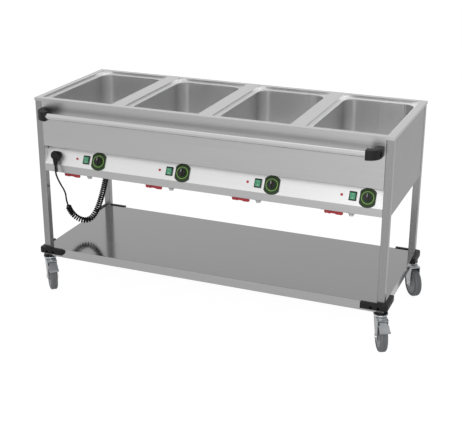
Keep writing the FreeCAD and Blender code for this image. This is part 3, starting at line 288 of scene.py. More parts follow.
lead_in = 2 * CORD_RADIUS
stations = [lead_in]
while stations[-1] < guide_length - lead_in:
    stations.append(stations[-1] + pitch_at(stations[-1] / guide_length) / POINTS_PER_CURL)
stretch = (guide_length - 2 * lead_in) / (stations[-1] - lead_in)
sideways = (curl_route[-1] - curl_route[0]).cross(Z_AXIS).normalized()
# A spline runs a little inside its points, so the points stand out by this share.
stand_out = 1 / (OWN_POINT_SHARE + (1 - OWN_POINT_SHARE) * math.cos(2 * math.pi / POINTS_PER_CURL))
curls = []
for index, station in enumerate(stations):
    spot, along = on_guide(lead_in + (station - lead_in) * stretch)
    inward = sideways.cross(along)
    ramp = min(index, len(stations) - 1 - index) / POINTS_PER_CURL
    swell = CURL_RADIUS * stand_out * (1 - math.cos(math.pi * min(ramp, 1))) / 2
    angle = 2 * math.pi * index / POINTS_PER_CURL
    curls.append(spot + (inward * math.cos(angle) + sideways * math.sin(angle)) * swell)
print("curls", len(curls) / POINTS_PER_CURL)

# %% [markdown]
# The straight stretch follows listed points, the same as in the CAD source. It leaves the
# curls in their own direction, rises with a little slack, and ends inside the neck of the plug.

# %% Lead and whole cord
LEAD_RUN_IN = 20.0
LEAD_ROUTE = [(-61, 160, -199), (-56, 142, -175), (-44, 116, -156), (-27, 86, -140), (-9, 53, -123),
              (7, 20, -103), (18, -8, -80), (19, -27, -52), (12, -31, -24)]
PLUG_MIDDLE, NECK_LONG = 23.0, 44.0
CORD_FINENESS, CORD_ROUNDNESS = 3, 4
run_in = curl_route[0] + (curl_route[0] - curl_route[1]).normalized() * LEAD_RUN_IN * MM
lead_route = [run_in, *(from_foot(*spot) for spot in LEAD_ROUTE)]
plug_middle = plug_spot + panel_out * PLUG_MIDDLE * MM
neck_way = (lead_route[-1] - plug_middle).normalized()
plug_end = plug_middle + neck_way * NECK_LONG * MM
cord_points = [curl_route[-1], *reversed(curls), curl_route[0], *lead_route, plug_end]
cord = smooth_line("mains_cord", cord_points, CORD_FINENESS)
# Each point carries the cord's radius, so the round section itself has a radius of one.
cord.data.bevel_depth = 1.0
cord.data.bevel_resolution = CORD_ROUNDNESS
cord.data.use_fill_caps = True
print("cord", len(cord_points), "points")

# %% [markdown]
# A finish starts from what the real material is. Each one below is a main shader with a
# pattern whose size comes from millimetres on the real surface. Object coordinates are
# metres of the shared frame, so a pattern of one millimetre has a scale of a thousand.

# %% Start and end of a finish
# Sockets of a Mix node for colours go by number: its share, its two colours and its result.
MIX_SHARE, MIX_FROM, MIX_TO, MIX_RESULT = 0, 6, 7, 2


def sockets_of(words):
    """Socket names from plain words, such as coat_weight for Coat Weight."""
    return {word.replace("_", " ").title().replace("Ior", "IOR"): value for word, value in words.items()}


def begin(name, **words):
    """New material, its node tree, its main shader and its coordinates on the surface."""
    material = bpy.data.materials.new(name)
    material.use_nodes = True
    tree = material.node_tree
    tree.nodes.clear()
    shader = add(tree, "ShaderNodeBsdfPrincipled", sockets_of(words))
    add(tree, "ShaderNodeOutputMaterial", {"Surface": shader.outputs[0]})
    return material, tree, shader, add(tree, "ShaderNodeTexCoord").outputs


def dress(tree, shader, colour, gloss, relief):
    """Give the main shader its colour, its roughness and its relief."""
    for name, pattern in (("Base Color", colour), ("Roughness", gloss), ("Normal", relief)):
        tree.links.new(pattern, shader.inputs[name])


def per(millimetres):
    """Pattern scale that repeats about once in so many millimetres."""
    return 1 / (millimetres * MM)


print("scale of one millimetre", round(per(1)))

# %% [markdown]
# Stainless sheet is rolled and then brushed with a belt, which leaves fine lines along one
# direction. Real lines are about 0.3 mm apart, too fine for this picture, so they are drawn
# 3 mm apart. They change the gloss more than the colour. Slow clouds stand for the uneven
# pressure of the belt and for years of wiping, and a faint wave breaks up the reflections. Faces
# that look up can get their colour scaled by how far they look up, which paints light and shade:
# painted shade darkens the top of the shelf and the floors of the wells, and a painted highlight
# brightens the fascia.

# %% Brushed steel
LINE_MM, LINE_LONG_MM, LINE_DEPTH_MM = 3.0, 450.0, 0.05
CLOUD_MM = 160.0


def brushed(name, dark, light, along, rough, wave_mm, cloud_rough=0.05, painted_facing_light=None):
    """Painted facing light is how far a face looks up where its painted light starts and is full, and its scale on
    the colour.
    """
    material, tree, shader, surface = begin(name, metallic=1.0)
    where = surface["Object"]
    scale = [per(LINE_MM)] * 3
    scale["XYZ".index(along)] = per(LINE_LONG_MM)
    drawn = add(tree, "ShaderNodeMapping", {"Vector": where, "Scale": scale})
    lines = add(tree, "ShaderNodeTexNoise", {"Vector": drawn.outputs[0], "Scale": 1.0, "Detail": 4.0,
                                             "Roughness": 0.65})
    clouds = add(tree, "ShaderNodeTexNoise", {"Vector": where, "Scale": per(CLOUD_MM), "Detail": 2.0})
    tint = add(tree, "ShaderNodeMix", {MIX_SHARE: lines.outputs["Fac"], MIX_FROM: linear(dark),
                                       MIX_TO: linear(light)}, data_type="RGBA")
    gloss = add(tree, "ShaderNodeMapRange", {"Value": lines.outputs["Fac"], "From Min": 0.3,
                                             "From Max": 0.7, "To Min": rough[0], "To Max": rough[1]})
    worn = add(tree, "ShaderNodeMath", {0: clouds.outputs["Fac"], 1: cloud_rough, 2: gloss.outputs[0]},
               operation="MULTIPLY_ADD")
    fine = add(tree, "ShaderNodeBump", {"Height": lines.outputs["Fac"], "Strength": 0.1,
                                        "Distance": LINE_DEPTH_MM * MM})
    wavy = add(tree, "ShaderNodeBump", {"Height": clouds.outputs["Fac"], "Strength": 0.4,
                                        "Distance": wave_mm * MM, "Normal": fine.outputs[0]})
    colour = tint.outputs[MIX_RESULT]
    if painted_facing_light:
        facing = add(tree, "ShaderNodeSeparateXYZ", {0: surface["Normal"]})
        share = add(tree, "ShaderNodeMapRange", {"Value": facing.outputs["Z"], "From Min": painted_facing_light[0],
                                                 "From Max": painted_facing_light[1], "To Min": 1.0, "To Max": painted_facing_light[2]})
        facing_lit_colour = add(tree, "ShaderNodeVectorMath", {0: colour, "Scale": share.outputs[0]}, operation="SCALE")
        colour = facing_lit_colour.outputs[0]
    dress(tree, shader, colour, worn.outputs[0], wavy.outputs[0])
    return material


steel_long = brushed("stainless_sheet_brushed_lengthways", "#B4B4B4", "#C2C2C2", "X", (0.27, 0.36), 0.3)
steel_deep = brushed("stainless_sheet_brushed_front_to_back", "#909090", "#9C9C9C", "Y", (0.27, 0.36), 0.3)
# Painted shade: the shelf's upward faces are darkened to 0.55 of its colour.
steel_shelf = brushed("stainless_sheet_rolled_smooth_painted_shade", "#AEAEAE", "#B8B8B8", "X", (0.09, 0.14), 0.15,
                      painted_facing_light=(0.5, 0.9, 0.55))
steel_up = brushed("stainless_tube_brushed_upright", "#929292", "#A4A4A4", "Z", (0.2, 0.28), 0.2)
# Painted highlight: the fascia's upward faces are brightened 1.45 times against its lip.
steel_panel = brushed("stainless_fascia_fine_brushed_painted_highlight", "#B6B6B6", "#C2C2C2", "X", (0.3, 0.38), 0.2,
                      painted_facing_light=(0.2, 0.4, 1.45))
# Painted light: the wells are paler than the other steel and stand in for light bounced inside them, and painted
# shade darkens their floors to 0.9.
steel_well = brushed("stainless_deep_drawn_painted_light", "#DCDCDC", "#E4E4E4", "Z", (0.26, 0.32), 0.3, 0.03,
                     painted_facing_light=(0.5, 0.9, 0.9))
steel_bar = brushed("stainless_tube_polished", "#BEBEBE", "#CCCCCC", "X", (0.12, 0.17), 0.05)
print("steels", [finish.name for finish in bpy.data.materials if finish.name.startswith("stainless")])

# %% [markdown]
# Zinc plate and nickel plate are thin coats of other metals on steel and brass. Zinc has a
# cool tint and a soft patchy gloss from its crystals, about 4 mm across. Nickel is warmer and
# more even. The sheath of a heating element is drawn tube, dark from its own heat, and black
# oxide is a thin dark skin on screws and stems. All of them share one pattern of patches.

# %% Plated metals
PATCH_MM, PATCH_DEPTH_MM = 4.0, 0.05
PATCHES_PER_CLOUD = 6


def plated(name, dark, light, rough):
    material, tree, shader, surface = begin(name, metallic=1.0)
    where = surface["Object"]
    patches = add(tree, "ShaderNodeTexVoronoi", {"Vector": where, "Scale": per(PATCH_MM)},
                  feature="SMOOTH_F1")
    clouds = add(tree, "ShaderNodeTexNoise", {"Vector": where, "Scale": per(PATCHES_PER_CLOUD * PATCH_MM),
                                              "Detail": 3.0})
    both = add(tree, "ShaderNodeMath", {0: patches.outputs["Distance"], 1: clouds.outputs["Fac"]},
               operation="MULTIPLY")
    tint = add(tree, "ShaderNodeMix", {MIX_SHARE: clouds.outputs["Fac"], MIX_FROM: linear(dark),
                                       MIX_TO: linear(light)}, data_type="RGBA")
    gloss = add(tree, "ShaderNodeMapRange", {"Value": both.outputs[0], "From Min": 0.1, "From Max": 0.4,
                                             "To Min": rough[0], "To Max": rough[1]})
    bump = add(tree, "ShaderNodeBump", {"Height": both.outputs[0], "Strength": 0.15,
                                        "Distance": PATCH_DEPTH_MM * MM})
    dress(tree, shader, tint.outputs[MIX_RESULT], gloss.outputs[0], bump.outputs[0])
    return material


zinc = plated("zinc_plated_pressed_steel", "#A9ACAF", "#C3C6C8", (0.26, 0.42))
dull_zinc = plated("zinc_plated_worn_steel", "#A0A3A6", "#B4B7BA", (0.5, 0.6))
bright_zinc = plated("zinc_plated_turned_steel", "#BFC2C4", "#D6D8DA", (0.16, 0.28))
nickel = plated("nickel_plated_brass_casting", "#A9A49A", "#C6C1B6", (0.22, 0.36))
sheath = plated("drawn_alloy_sheath_heat_tinted", "#5B5652", "#7A736C", (0.32, 0.46))
black_oxide = plated("turned_steel_black_oxide", "#202021", "#303132", (0.38, 0.5))
print("finishes so far", len(bpy.data.materials))

# %% [markdown]
# Moulded plastics and rubbers take the grain of their mould, about half a millimetre to one
# millimetre. The grain is a fine bump, and slow clouds change the gloss a little where hands
# and cleaning have polished the surface.

# %% Moulded plastics and rubbers
GRAINS_PER_CLOUD = 40


def moulded(name, dark, light, rough, grain_mm, depth_mm, **words):
    material, tree, shader, surface = begin(name, **words)
    where = surface["Object"]
    grain = add(tree, "ShaderNodeTexNoise", {"Vector": where, "Scale": per(grain_mm), "Detail": 3.0})
    clouds = add(tree, "ShaderNodeTexNoise", {"Vector": where, "Scale": per(GRAINS_PER_CLOUD * grain_mm),
                                              "Detail": 3.0})
    tint = add(tree, "ShaderNodeMix", {MIX_SHARE: clouds.outputs["Fac"], MIX_FROM: linear(dark),
                                       MIX_TO: linear(light)}, data_type="RGBA")
    gloss = add(tree, "ShaderNodeMapRange", {"Value": clouds.outputs["Fac"], "From Min": 0.3, "From Max": 0.7,
                                             "To Min": rough[0], "To Max": rough[1]})
    bump = add(tree, "ShaderNodeBump", {"Height": grain.outputs["Fac"], "Strength": 0.35,
                                        "Distance": depth_mm * MM})
    dress(tree, shader, tint.outputs[MIX_RESULT], gloss.outputs[0], bump.outputs[0])
    return material


bumper_nylon = moulded("polyamide_moulded_black", "#0E0E0F", "#171718", (0.45, 0.58), 1.0, 0.12, IOR=1.53,
                       specular_ior_level=0.25)
handle_nylon = moulded("polyamide_moulded_deep_black", "#0C0C0D", "#151516", (0.42, 0.55), 0.8, 0.08,
                       IOR=1.53, specular_ior_level=0.25)
bezel_abs = moulded("abs_moulded_black_green", "#16290C", "#20380F", (0.45, 0.55), 0.6, 0.05, IOR=1.45)
collar_abs = moulded("abs_moulded_dark_green", "#123A0A", "#1A4A10", (0.3, 0.4), 0.6, 0.04, IOR=1.5)
dial_ink = moulded("screen_ink_leaf_green", "#86B857", "#96C866", (0.4, 0.5), 0.5, 0.02, IOR=1.5)
mark_ink = moulded("screen_ink_white", "#DADAD4", "#E8E8E2", (0.45, 0.55), 0.5, 0.02, IOR=1.5)
knob_phenolic = moulded("phenolic_moulded_black", "#0E0F0D", "#171815", (0.45, 0.55), 0.7, 0.05, IOR=1.45)
switch_nylon = moulded("polyamide_moulded_switch_black", "#0C0F0F", "#141818", (0.35, 0.45), 0.6, 0.04,
                       IOR=1.45)
rocker_pc = moulded("polycarbonate_moulded_green", "#2F9468", "#46AF80", (0.16, 0.24), 0.8, 0.02, IOR=1.58,
                    coat_weight=0.4, coat_roughness=0.08, subsurface_weight=0.15,
                    subsurface_radius=(0.002, 0.004, 0.003))
lamp_pc = moulded("polycarbonate_moulded_red", "#B81C22", "#D22C30", (0.12, 0.2), 0.6, 0.02, IOR=1.58,
                  coat_weight=0.5, coat_roughness=0.05)
lever_vinyl = moulded("vinyl_dipped_dark_red", "#A41C28", "#BC2834", (0.32, 0.45), 0.9, 0.08, IOR=1.53,
                      coat_weight=0.15, coat_roughness=0.2)
case_abs = moulded("abs_moulded_charcoal", "#26282A", "#34373A", (0.4, 0.5), 0.8, 0.08, IOR=1.54)
plug_rubber = moulded("rubber_moulded_black", "#0C0C0C", "#151515", (0.48, 0.6), 0.9, 0.08, IOR=1.52,
                      specular_ior_level=0.25)
cord_rubber = moulded("rubber_extruded_black", "#0A0A0B", "#121213", (0.5, 0.62), 0.7, 0.05, IOR=1.52,
                      specular_ior_level=0.2)
wheel_pp = moulded("polypropylene_moulded_grey", "#8A8C8E", "#A0A2A4", (0.4, 0.5), 0.8, 0.08, IOR=1.49)
tyre_rubber = moulded("thermoplastic_rubber_moulded_grey", "#68696B", "#7A7B7D", (0.5, 0.65), 1.0, 0.12,
                      IOR=1.52)
print("all finishes", len(bpy.data.materials))

# %% [markdown]
# Small parts come next, in mesh code. Most are turned or pushed out of an outline, as the
# real ones are turned on a lathe or cut from bar. Outlines are in millimetres and the two
# tools below turn them into metres of the shared frame. Each piece rides on the body that
# carries it, so it moves with that body's joint.

# %% Tools for turned and cut pieces
SCREW_STEPS, SMALL_STEPS, TURNED_STEPS, WIDE_STEPS, TYRE_STEPS = 24, 32, 48, 64, 96


def lathe(form, outline, spot, axis, steps=TURNED_STEPS):
    """Turn a closed outline of (radius, height) round an axis through a spot."""
    side = axis.orthogonal().normalized()
    rings = []
    for radius, height in outline:
        middle = spot + axis * height * MM
        if radius == 0:
            rings.append([form.verts.new(middle)] * steps)
            continue
        turns = (2 * math.pi * step / steps for step in range(steps))
        rings.append([form.verts.new(middle + (side * math.cos(turn) + axis.cross(side) * math.sin(turn))
                                     * radius * MM) for turn in turns])
    for ring, following in zip(rings, rings[1:] + rings[:1]):
        for step in range(steps):
            after = (step + 1) % steps
            corners = dict.fromkeys((ring[step], ring[after], following[after], following[step]))
            if len(corners) > 2:
                form.faces.new(corners)


def prism(form, outline, spot, across, up, low, high):
    """Push a flat outline out between two heights off its plane."""
    out = across.cross(up)
    ends = [[form.verts.new(spot + (across * x + up * y + out * height) * MM) for x, y in outline]
            for height in (low, high)]
    for end in ends:
        form.faces.new(end)
    for index in range(len(outline)):
        form.faces.new((ends[0][index - 1], ends[0][index], ends[1][index], ends[1][index - 1]))


# %% [markdown]
# The outlines themselves repeat as well: an arc, a hexagon for a spanner, a plain bar, and a flat
# ring with broken edges. A last tool turns what has been filled into a piece, with smooth faces
# that stay crisp where they meet at more than 32 degrees.

# %% Outlines and pieces
HEXAGON_SWEEP, HEXAGON_RUNS = 300, 5
SHARP = math.radians(32)


def arc(middle, radius, start, finish, steps=8):
    turns = [math.radians(start + (finish - start) * step / steps) for step in range(steps + 1)]
    return [(middle[0] + radius * math.cos(turn), middle[1] + radius * math.sin(turn)) for turn in turns]


def hexagon(radius):
    return arc((0, 0), radius, 0, HEXAGON_SWEEP, HEXAGON_RUNS)


def bar(wide, tall, x=0, y=0):
    return [(x - wide / 2, y - tall / 2), (x + wide / 2, y - tall / 2),
            (x + wide / 2, y + tall / 2), (x - wide / 2, y + tall / 2)]


def hoop(inner, outer, low, high, soft):
    """Outline of a flat ring with its two upper edges broken."""
    return [(inner, low), (outer, low), (outer, high - soft), (outer - soft, high),
            (inner + soft, high), (inner, high - soft)]


def made(form, name, body, slot, finish, *replaced):
    """Turn a filled form into a piece of the trolley."""
    bmesh.ops.recalc_face_normals(form, faces=form.faces)
    mesh = bpy.data.meshes.new(name)
    form.to_mesh(mesh)
    form.free()
    mesh.shade_smooth()
    mesh.set_sharp_from_angle(angle=SHARP)
    mesh.materials.append(finish)
    piece = bpy.data.objects.new(name, mesh)
    scene.collection.objects.link(piece)
    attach(piece, body)
    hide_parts(*replaced)
    return piece


# %% [markdown]
# Each thermostat knob turns over a moulded bezel with a printed leaf-green ring and eleven pale
# strokes. Print could be a pattern in the bezel's material, but as thin pieces it keeps a crisp
# edge and its own finish. Ink is a few hundredths of a millimetre in life, and thicker here so
# that it shows. Raised pieces sink a little into what carries them, so that no gap shows.

# %% Dials
SINK = 0.1
BEZEL_TALL = 4.0
RING_RADII, RING_TALL, RING_SOFT = (22.5, 25.5), 0.5, 0.3
TICK_RADIUS, TICK_COUNT, TICK_SWEEP = 28.0, 11, 270
TICK_WIDE, TICK_LONG, TICK_TALL = 0.8, 2.2, 0.3
for number in WELL_NUMBERS:
    spot = joint_spot(f"knob_turn_{number}")
    form = bmesh.new()
    lathe(form, hoop(*RING_RADII, BEZEL_TALL - SINK, BEZEL_TALL + RING_TALL, RING_SOFT), spot, panel_out,
          WIDE_STEPS)
    made(form, f"dial_ring_{number}", "cabinet", "bezel_plastic", dial_ink)
    form = bmesh.new()
    for step in range(TICK_COUNT):
        turn = math.radians(TICK_SWEEP * (0.5 - step / (TICK_COUNT - 1)))
        outward = panel_up * math.cos(turn) - X_AXIS * math.sin(turn)
        prism(form, bar(TICK_WIDE, TICK_LONG), spot + outward * TICK_RADIUS * MM, outward.cross(panel_out),
              outward, -BEZEL_TALL - TICK_TALL, -BEZEL_TALL + SINK)
    made(form, f"dial_ticks_{number}", "cabinet", "bezel_plastic", mark_ink)
print("dials", len(WELL_NUMBERS))

# %% [markdown]
# The knob is a phenolic moulding with a grip across it. It gets a dark green collar, ribs round its
# foot for the fingers and a pale line on the grip, which all turn with it.

# %% Knobs
COLLAR_RADII, COLLAR_SEAT, COLLAR_TALL, COLLAR_SOFT = (15.6, 19.8), 8.4, 0.5, 0.3
RIB_COUNT, RIB_AWAY, RIB_RADIUS, RIB_LOW, RIB_HIGH = 20, 15.4, 0.9, 8.4, 16.0
GRIP_TALL = 21.4
LINE_WIDE, LINE_LONG, LINE_AWAY, LINE_TALL = 1.5, 12.5, 8.2, 0.2
for number in WELL_NUMBERS:
    spot = joint_spot(f"knob_turn_{number}")
    form = bmesh.new()
    lathe(form, hoop(*COLLAR_RADII, COLLAR_SEAT - SINK, COLLAR_SEAT + COLLAR_TALL, COLLAR_SOFT), spot,
          panel_out, WIDE_STEPS)
    made(form, f"knob_collar_{number}", f"knob_{number}", "knob_plastic", collar_abs)
    form = bmesh.new()
    for step in range(RIB_COUNT):
        turn = 2 * math.pi * step / RIB_COUNT
        outward = panel_up * math.cos(turn) + X_AXIS * math.sin(turn)
        prism(form, hexagon(RIB_RADIUS), spot + outward * RIB_AWAY * MM, X_AXIS, panel_up, RIB_LOW, RIB_HIGH)
    made(form, f"knob_ribs_{number}", f"knob_{number}", "knob_plastic", knob_phenolic)
    form = bmesh.new()
    prism(form, bar(LINE_WIDE, LINE_LONG, 0, LINE_AWAY), spot, X_AXIS, panel_up, GRIP_TALL - SINK,
          GRIP_TALL + LINE_TALL)
    made(form, f"knob_line_{number}", f"knob_{number}", "knob_plastic", mark_ink)
print("knobs", len(WELL_NUMBERS))

# %% [markdown]
# The lit rocker switches carry a stroke for on and a ring for off, raised in the moulding.
# They lean by nine degrees at rest, so the marks lean with them.

# %% Marks on the rockers
ROCKER_TILT, ROCKER_RISE = math.radians(9), 6.5
MARK_AWAY, MARK_TALL = 8.0, 0.25
STROKE_WIDE, STROKE_LONG = 1.3, 5.5
OFF_RADII, OFF_SOFT = (1.9, 3.0), 0.1
mark_low, mark_high = ROCKER_RISE - SINK, ROCKER_RISE + MARK_TALL
tilt = Matrix.Rotation(ROCKER_TILT, 3, "X")
rocker_up, rocker_out = tilt @ panel_up, tilt @ panel_out
for number in WELL_NUMBERS:
    spot = joint_spot(f"switch_{number}")
    form = bmesh.new()
    prism(form, bar(STROKE_WIDE, STROKE_LONG, 0, MARK_AWAY), spot, X_AXIS, rocker_up, mark_low, mark_high)
    lathe(form, hoop(*OFF_RADII, mark_low, mark_high, OFF_SOFT), spot - rocker_up * MARK_AWAY * MM,
          rocker_out, SMALL_STEPS)
    made(form, f"rocker_marks_{number}", f"rocker_{number}", "rocker_green", mark_ink)
print("switch marks", len(WELL_NUMBERS))

# %% [markdown]
# A drain valve has a flat steel lever dipped in red vinyl, and a nut that holds the lever on its
# stem. The lever's outline has a round tail, a waist at the stem and a round grip. Half of it is
# drawn and mirrored, and a bevel stands for the soft dipped edge.

# %% Drain levers
TAIL_AWAY, TAIL_RADIUS, TAIL_FROM = -14.0, 8.0, 60
GRIP_AWAY, GRIP_RADIUS, GRIP_LONG = 47.5, 8.5, 18.0
WAIST_HALF, WAIST_FROM, WAIST_TO = 5.6, -4.0, 20.0
LEVER_HALF, DIPPED_EDGE, DIPPED_STEPS = 2.0, 1.4, 3
STEM_RADIUS, STEM_BACK = 4.5, 16.0
NUT_RADIUS, NUT_TALL = 6.9, 3.8
STUD_RADIUS, STUD_TALL, STUD_SOFT = 3.2, 6.8, 0.8
upper_edge = [*arc((GRIP_AWAY, 0), GRIP_RADIUS, 0, 90), (GRIP_AWAY - GRIP_LONG, GRIP_RADIUS),
              (WAIST_TO, WAIST_HALF), (WAIST_FROM, WAIST_HALF),
              *arc((TAIL_AWAY, 0), TAIL_RADIUS, TAIL_FROM, 180)]
lever_outline = upper_edge + [(x, -y) for x, y in reversed(upper_edge[1:-1])]
stem_outline = [(0, -STEM_BACK), (STEM_RADIUS, -STEM_BACK), (STEM_RADIUS, 0), (STUD_RADIUS, 0),
                (STUD_RADIUS, STUD_TALL - STUD_SOFT), (STUD_RADIUS - STUD_SOFT, STUD_TALL), (0, STUD_TALL)]
for number in WELL_NUMBERS:
    spot = joint_spot(f"drain_valve_{number}")
    form = bmesh.new()
    prism(form, lever_outline, spot, X_AXIS, Z_AXIS, -LEVER_HALF, LEVER_HALF)
    lever = made(form, f"lever_grip_{number}", f"lever_{number}", "lever_red", lever_vinyl,
                 f"valve_lever_{number}")
    soft = lever.modifiers.new("dipped_edge", "BEVEL")
    soft.width = DIPPED_EDGE * MM
    soft.segments = DIPPED_STEPS
    form = bmesh.new()
    prism(form, hexagon(NUT_RADIUS), spot, X_AXIS, Z_AXIS, LEVER_HALF, LEVER_HALF + NUT_TALL)
    lathe(form, stem_outline, spot, -Y_AXIS, SCREW_STEPS)
    made(form, f"lever_nut_{number}", f"lever_{number}", "lever_red", lever_vinyl)
print("levers", len(WELL_NUMBERS))

# %% [markdown]
# The valve's cast body has a hexagon at each end for a spanner, and the outlet beside it ends in a
# nut. They are short lengths of hexagonal bar, pushed along the pipe and down round the outlet.

# %% Hexagons and nuts of the valves
PIPE_BEHIND = 40.0
COLLAR_ENDS, COLLAR_RADIUS = (21.0, 28.0), 17.0
OUTLET_AWAY, OUTLET_NUT, OUTLET_NUT_RADIUS = 79.0, (-12.0, -4.0), 14.0
for number in WELL_NUMBERS:
    pipe = joint_spot(f"drain_valve_{number}") + Y_AXIS * PIPE_BEHIND * MM
    form = bmesh.new()
    for side in SIDES:
        low, high = sorted(side * end for end in COLLAR_ENDS)
        prism(form, hexagon(COLLAR_RADIUS), pipe, Y_AXIS, Z_AXIS, low, high)
    made(form, f"valve_hexagons_{number}", "cabinet", "nickel_brass", nickel)
    form = bmesh.new()
    prism(form, hexagon(OUTLET_NUT_RADIUS), pipe + X_AXIS * OUTLET_AWAY * MM, X_AXIS, Y_AXIS, *OUTLET_NUT)
    made(form, f"outlet_nut_{number}", "cabinet", "bright_steel", dull_zinc)
print("valves", len(WELL_NUMBERS))

# %% [markdown]
# Every well has a drain hole in its floor. A pressed strainer with a rim and three bars keeps
# food out of the pipe. Each bar is as long as the hole is wide at its place.

# %% Strainers
DRAIN_FROM_LEVER, WELL_OVER_LEVER = -46.0, 132.0
STRAINER_RADII, STRAINER_TALL, STRAINER_SOFT = (7.2, 14.0), 1.2, 0.5
GRID_AWAY, GRID_WIDE, GRID_REACH, GRID_HEIGHTS = (-4.0, 0.0, 4.0), 1.4, 7.4, (-0.4, 0.7)
for number in WELL_NUMBERS:
    spot = joint_spot(f"drain_valve_{number}")
    spot += Vector((DRAIN_FROM_LEVER, PIPE_BEHIND, WELL_OVER_LEVER)) * MM
    form = bmesh.new()
    lathe(form, hoop(*STRAINER_RADII, 0, STRAINER_TALL, STRAINER_SOFT), spot, Z_AXIS)
    for away in GRID_AWAY:
        reach = math.sqrt(GRID_REACH ** 2 - away ** 2)
        prism(form, bar(GRID_WIDE, 2 * reach, away, 0), spot, X_AXIS, Y_AXIS, *GRID_HEIGHTS)
    made(form, f"strainer_{number}", "cabinet", "bright_steel", bright_zinc)
print("strainers", len(WELL_NUMBERS))

# %% [markdown]
# A caster wheel is moulded in two steps: a hard grey centre, then a softer grey tyre with
# grooves round its tread and a shallow groove round each side. Half of the tyre's outline is
# drawn, from the middle of the tread to the bore, and mirrored.

# %% Tyres
WHEEL_RADIUS, TYRE_HALF, TYRE_ROUND, TYRE_BORE = 62.5, 15.5, 8.0, 48.5
GROOVES, GROOVE_HALF, GROOVE_DEEP = (0.0, 5.0), 0.7, 1.2
SIDE_RADII, SIDE_SLOPE, SIDE_DEEP = (50.8, 53.4), 0.6, 0.7
groove_floor = WHEEL_RADIUS - GROOVE_DEEP
half_tread = []
for groove in GROOVES:
    half_tread += [(WHEEL_RADIUS, groove - 2 * GROOVE_HALF), (groove_floor, groove - GROOVE_HALF),
                   (groove_floor, groove + GROOVE_HALF), (WHEEL_RADIUS, groove + 2 * GROOVE_HALF)]
# The first two points lie past the middle, so they are left to the mirrored half.
half_tread = half_tread[2:]
shoulder = arc((WHEEL_RADIUS - TYRE_ROUND, TYRE_HALF - TYRE_ROUND), TYRE_ROUND, 0, 90)
side_groove = [(SIDE_RADII[1], TYRE_HALF), (SIDE_RADII[1] - SIDE_SLOPE, TYRE_HALF - SIDE_DEEP),
               (SIDE_RADII[0] + SIDE_SLOPE, TYRE_HALF - SIDE_DEEP), (SIDE_RADII[0], TYRE_HALF)]
half_tyre = half_tread + shoulder + side_groove + [(TYRE_BORE, TYRE_HALF)]
tyre_outline = half_tyre + [(radius, -height) for radius, height in reversed(half_tyre)]
for name in CASTERS:
    form = bmesh.new()
    lathe(form, tyre_outline, joint_spot(f"roll_{name}"), Vector(joints[f"roll_{name}"]["axis"]), TYRE_STEPS)
    made(form, f"wheel_tyre_{name}", f"wheel_{name}", "tyre_rubber", tyre_rubber, f"tyre_{name}")
print("tyres", len(CASTERS))

# %% [markdown]
# Plastic guards on both sides of the wheel keep threads out of the hub, and the swivel head has a
# pressed steel dish over its balls. Both are thin turned shells.

# %% Thread guards and swivel dishes
guard_outline = [(15.4, 12.9), (46.5, 12.9), (47.6, 13.4), (46.5, 14.2), (40, 14.4), (38, 13.8), (20, 14.8),
                 (15.4, 16.2)]
dish_outline = [(24.9, -2.6), (27.0, -2.2), (29.0, 1.0), (29.8, 5.6), (29.4, 6.8), (28.6, 7.0), (28.2, 6.2),
                (27.6, 2.0), (26.2, 0.0), (24.9, -0.4)]
for name in CASTERS:
    axle = Vector(joints[f"roll_{name}"]["axis"])
    form = bmesh.new()
    for side in SIDES:
        lathe(form, guard_outline, joint_spot(f"roll_{name}"), axle * side, WIDE_STEPS)
    made(form, f"thread_guards_{name}", f"wheel_{name}", "wheel_plastic", wheel_pp)
    form = bmesh.new()
    lathe(form, dish_outline, joint_spot(f"swivel_{name}"), Z_AXIS, WIDE_STEPS)
    made(form, f"swivel_dish_{name}", f"caster_{name}", "zinc_steel", bright_zinc)
print("guards and dishes", len(CASTERS))

# %% [markdown]
# The wheel turns on a bolt through both cheeks of the fork. A hexagon head closes one end, a
# lower nut the other, and each has a washer under it. The bolt's own end stands out of the nut.

# %% Axle bolts
AXLE_RADIUS, CHEEK_OUT = 5.0, 22.0
BOLT_END, BOLT_SOFT = 4.5, 1.0
WASHER_RADIUS, WASHER_TALL, WASHER_SOFT = 8.5, 1.2, 0.3
HEXAGON_RADIUS, HEXAGON_TOPS = 7.4, {1: 5.0, -1: 3.6}
bolt_outline = [(0, -CHEEK_OUT - BOLT_END), (AXLE_RADIUS - BOLT_SOFT, -CHEEK_OUT - BOLT_END),
                (AXLE_RADIUS, -CHEEK_OUT - BOLT_END + BOLT_SOFT), (AXLE_RADIUS, CHEEK_OUT), (0, CHEEK_OUT)]
washer_top = CHEEK_OUT + WASHER_TALL
for name in CASTERS:
    hub, axle = joint_spot(f"roll_{name}"), Vector(joints[f"roll_{name}"]["axis"])
    round_side = axle.cross(Z_AXIS)
    form = bmesh.new()
    lathe(form, bolt_outline, hub, axle, SMALL_STEPS)
    for side in SIDES:
        lathe(form, hoop(AXLE_RADIUS, WASHER_RADIUS, CHEEK_OUT, washer_top, WASHER_SOFT), hub, axle * side,
              SMALL_STEPS)
        low, high = sorted((side * washer_top, side * (CHEEK_OUT + HEXAGON_TOPS[side])))
        prism(form, hexagon(HEXAGON_RADIUS), hub, round_side, -axle.cross(round_side), low, high)
    made(form, f"axle_bolt_{name}", f"caster_{name}", "zinc_steel", bright_zinc, f"wheel_axle_{name}")
print("axle bolts", len(CASTERS))

# %% [markdown]
# Socket screws hold the corner bumpers, two on each side of a corner, and a cap covers the
# screw of each handle bracket. A turned head with a hexagonal floor in its hole is enough.

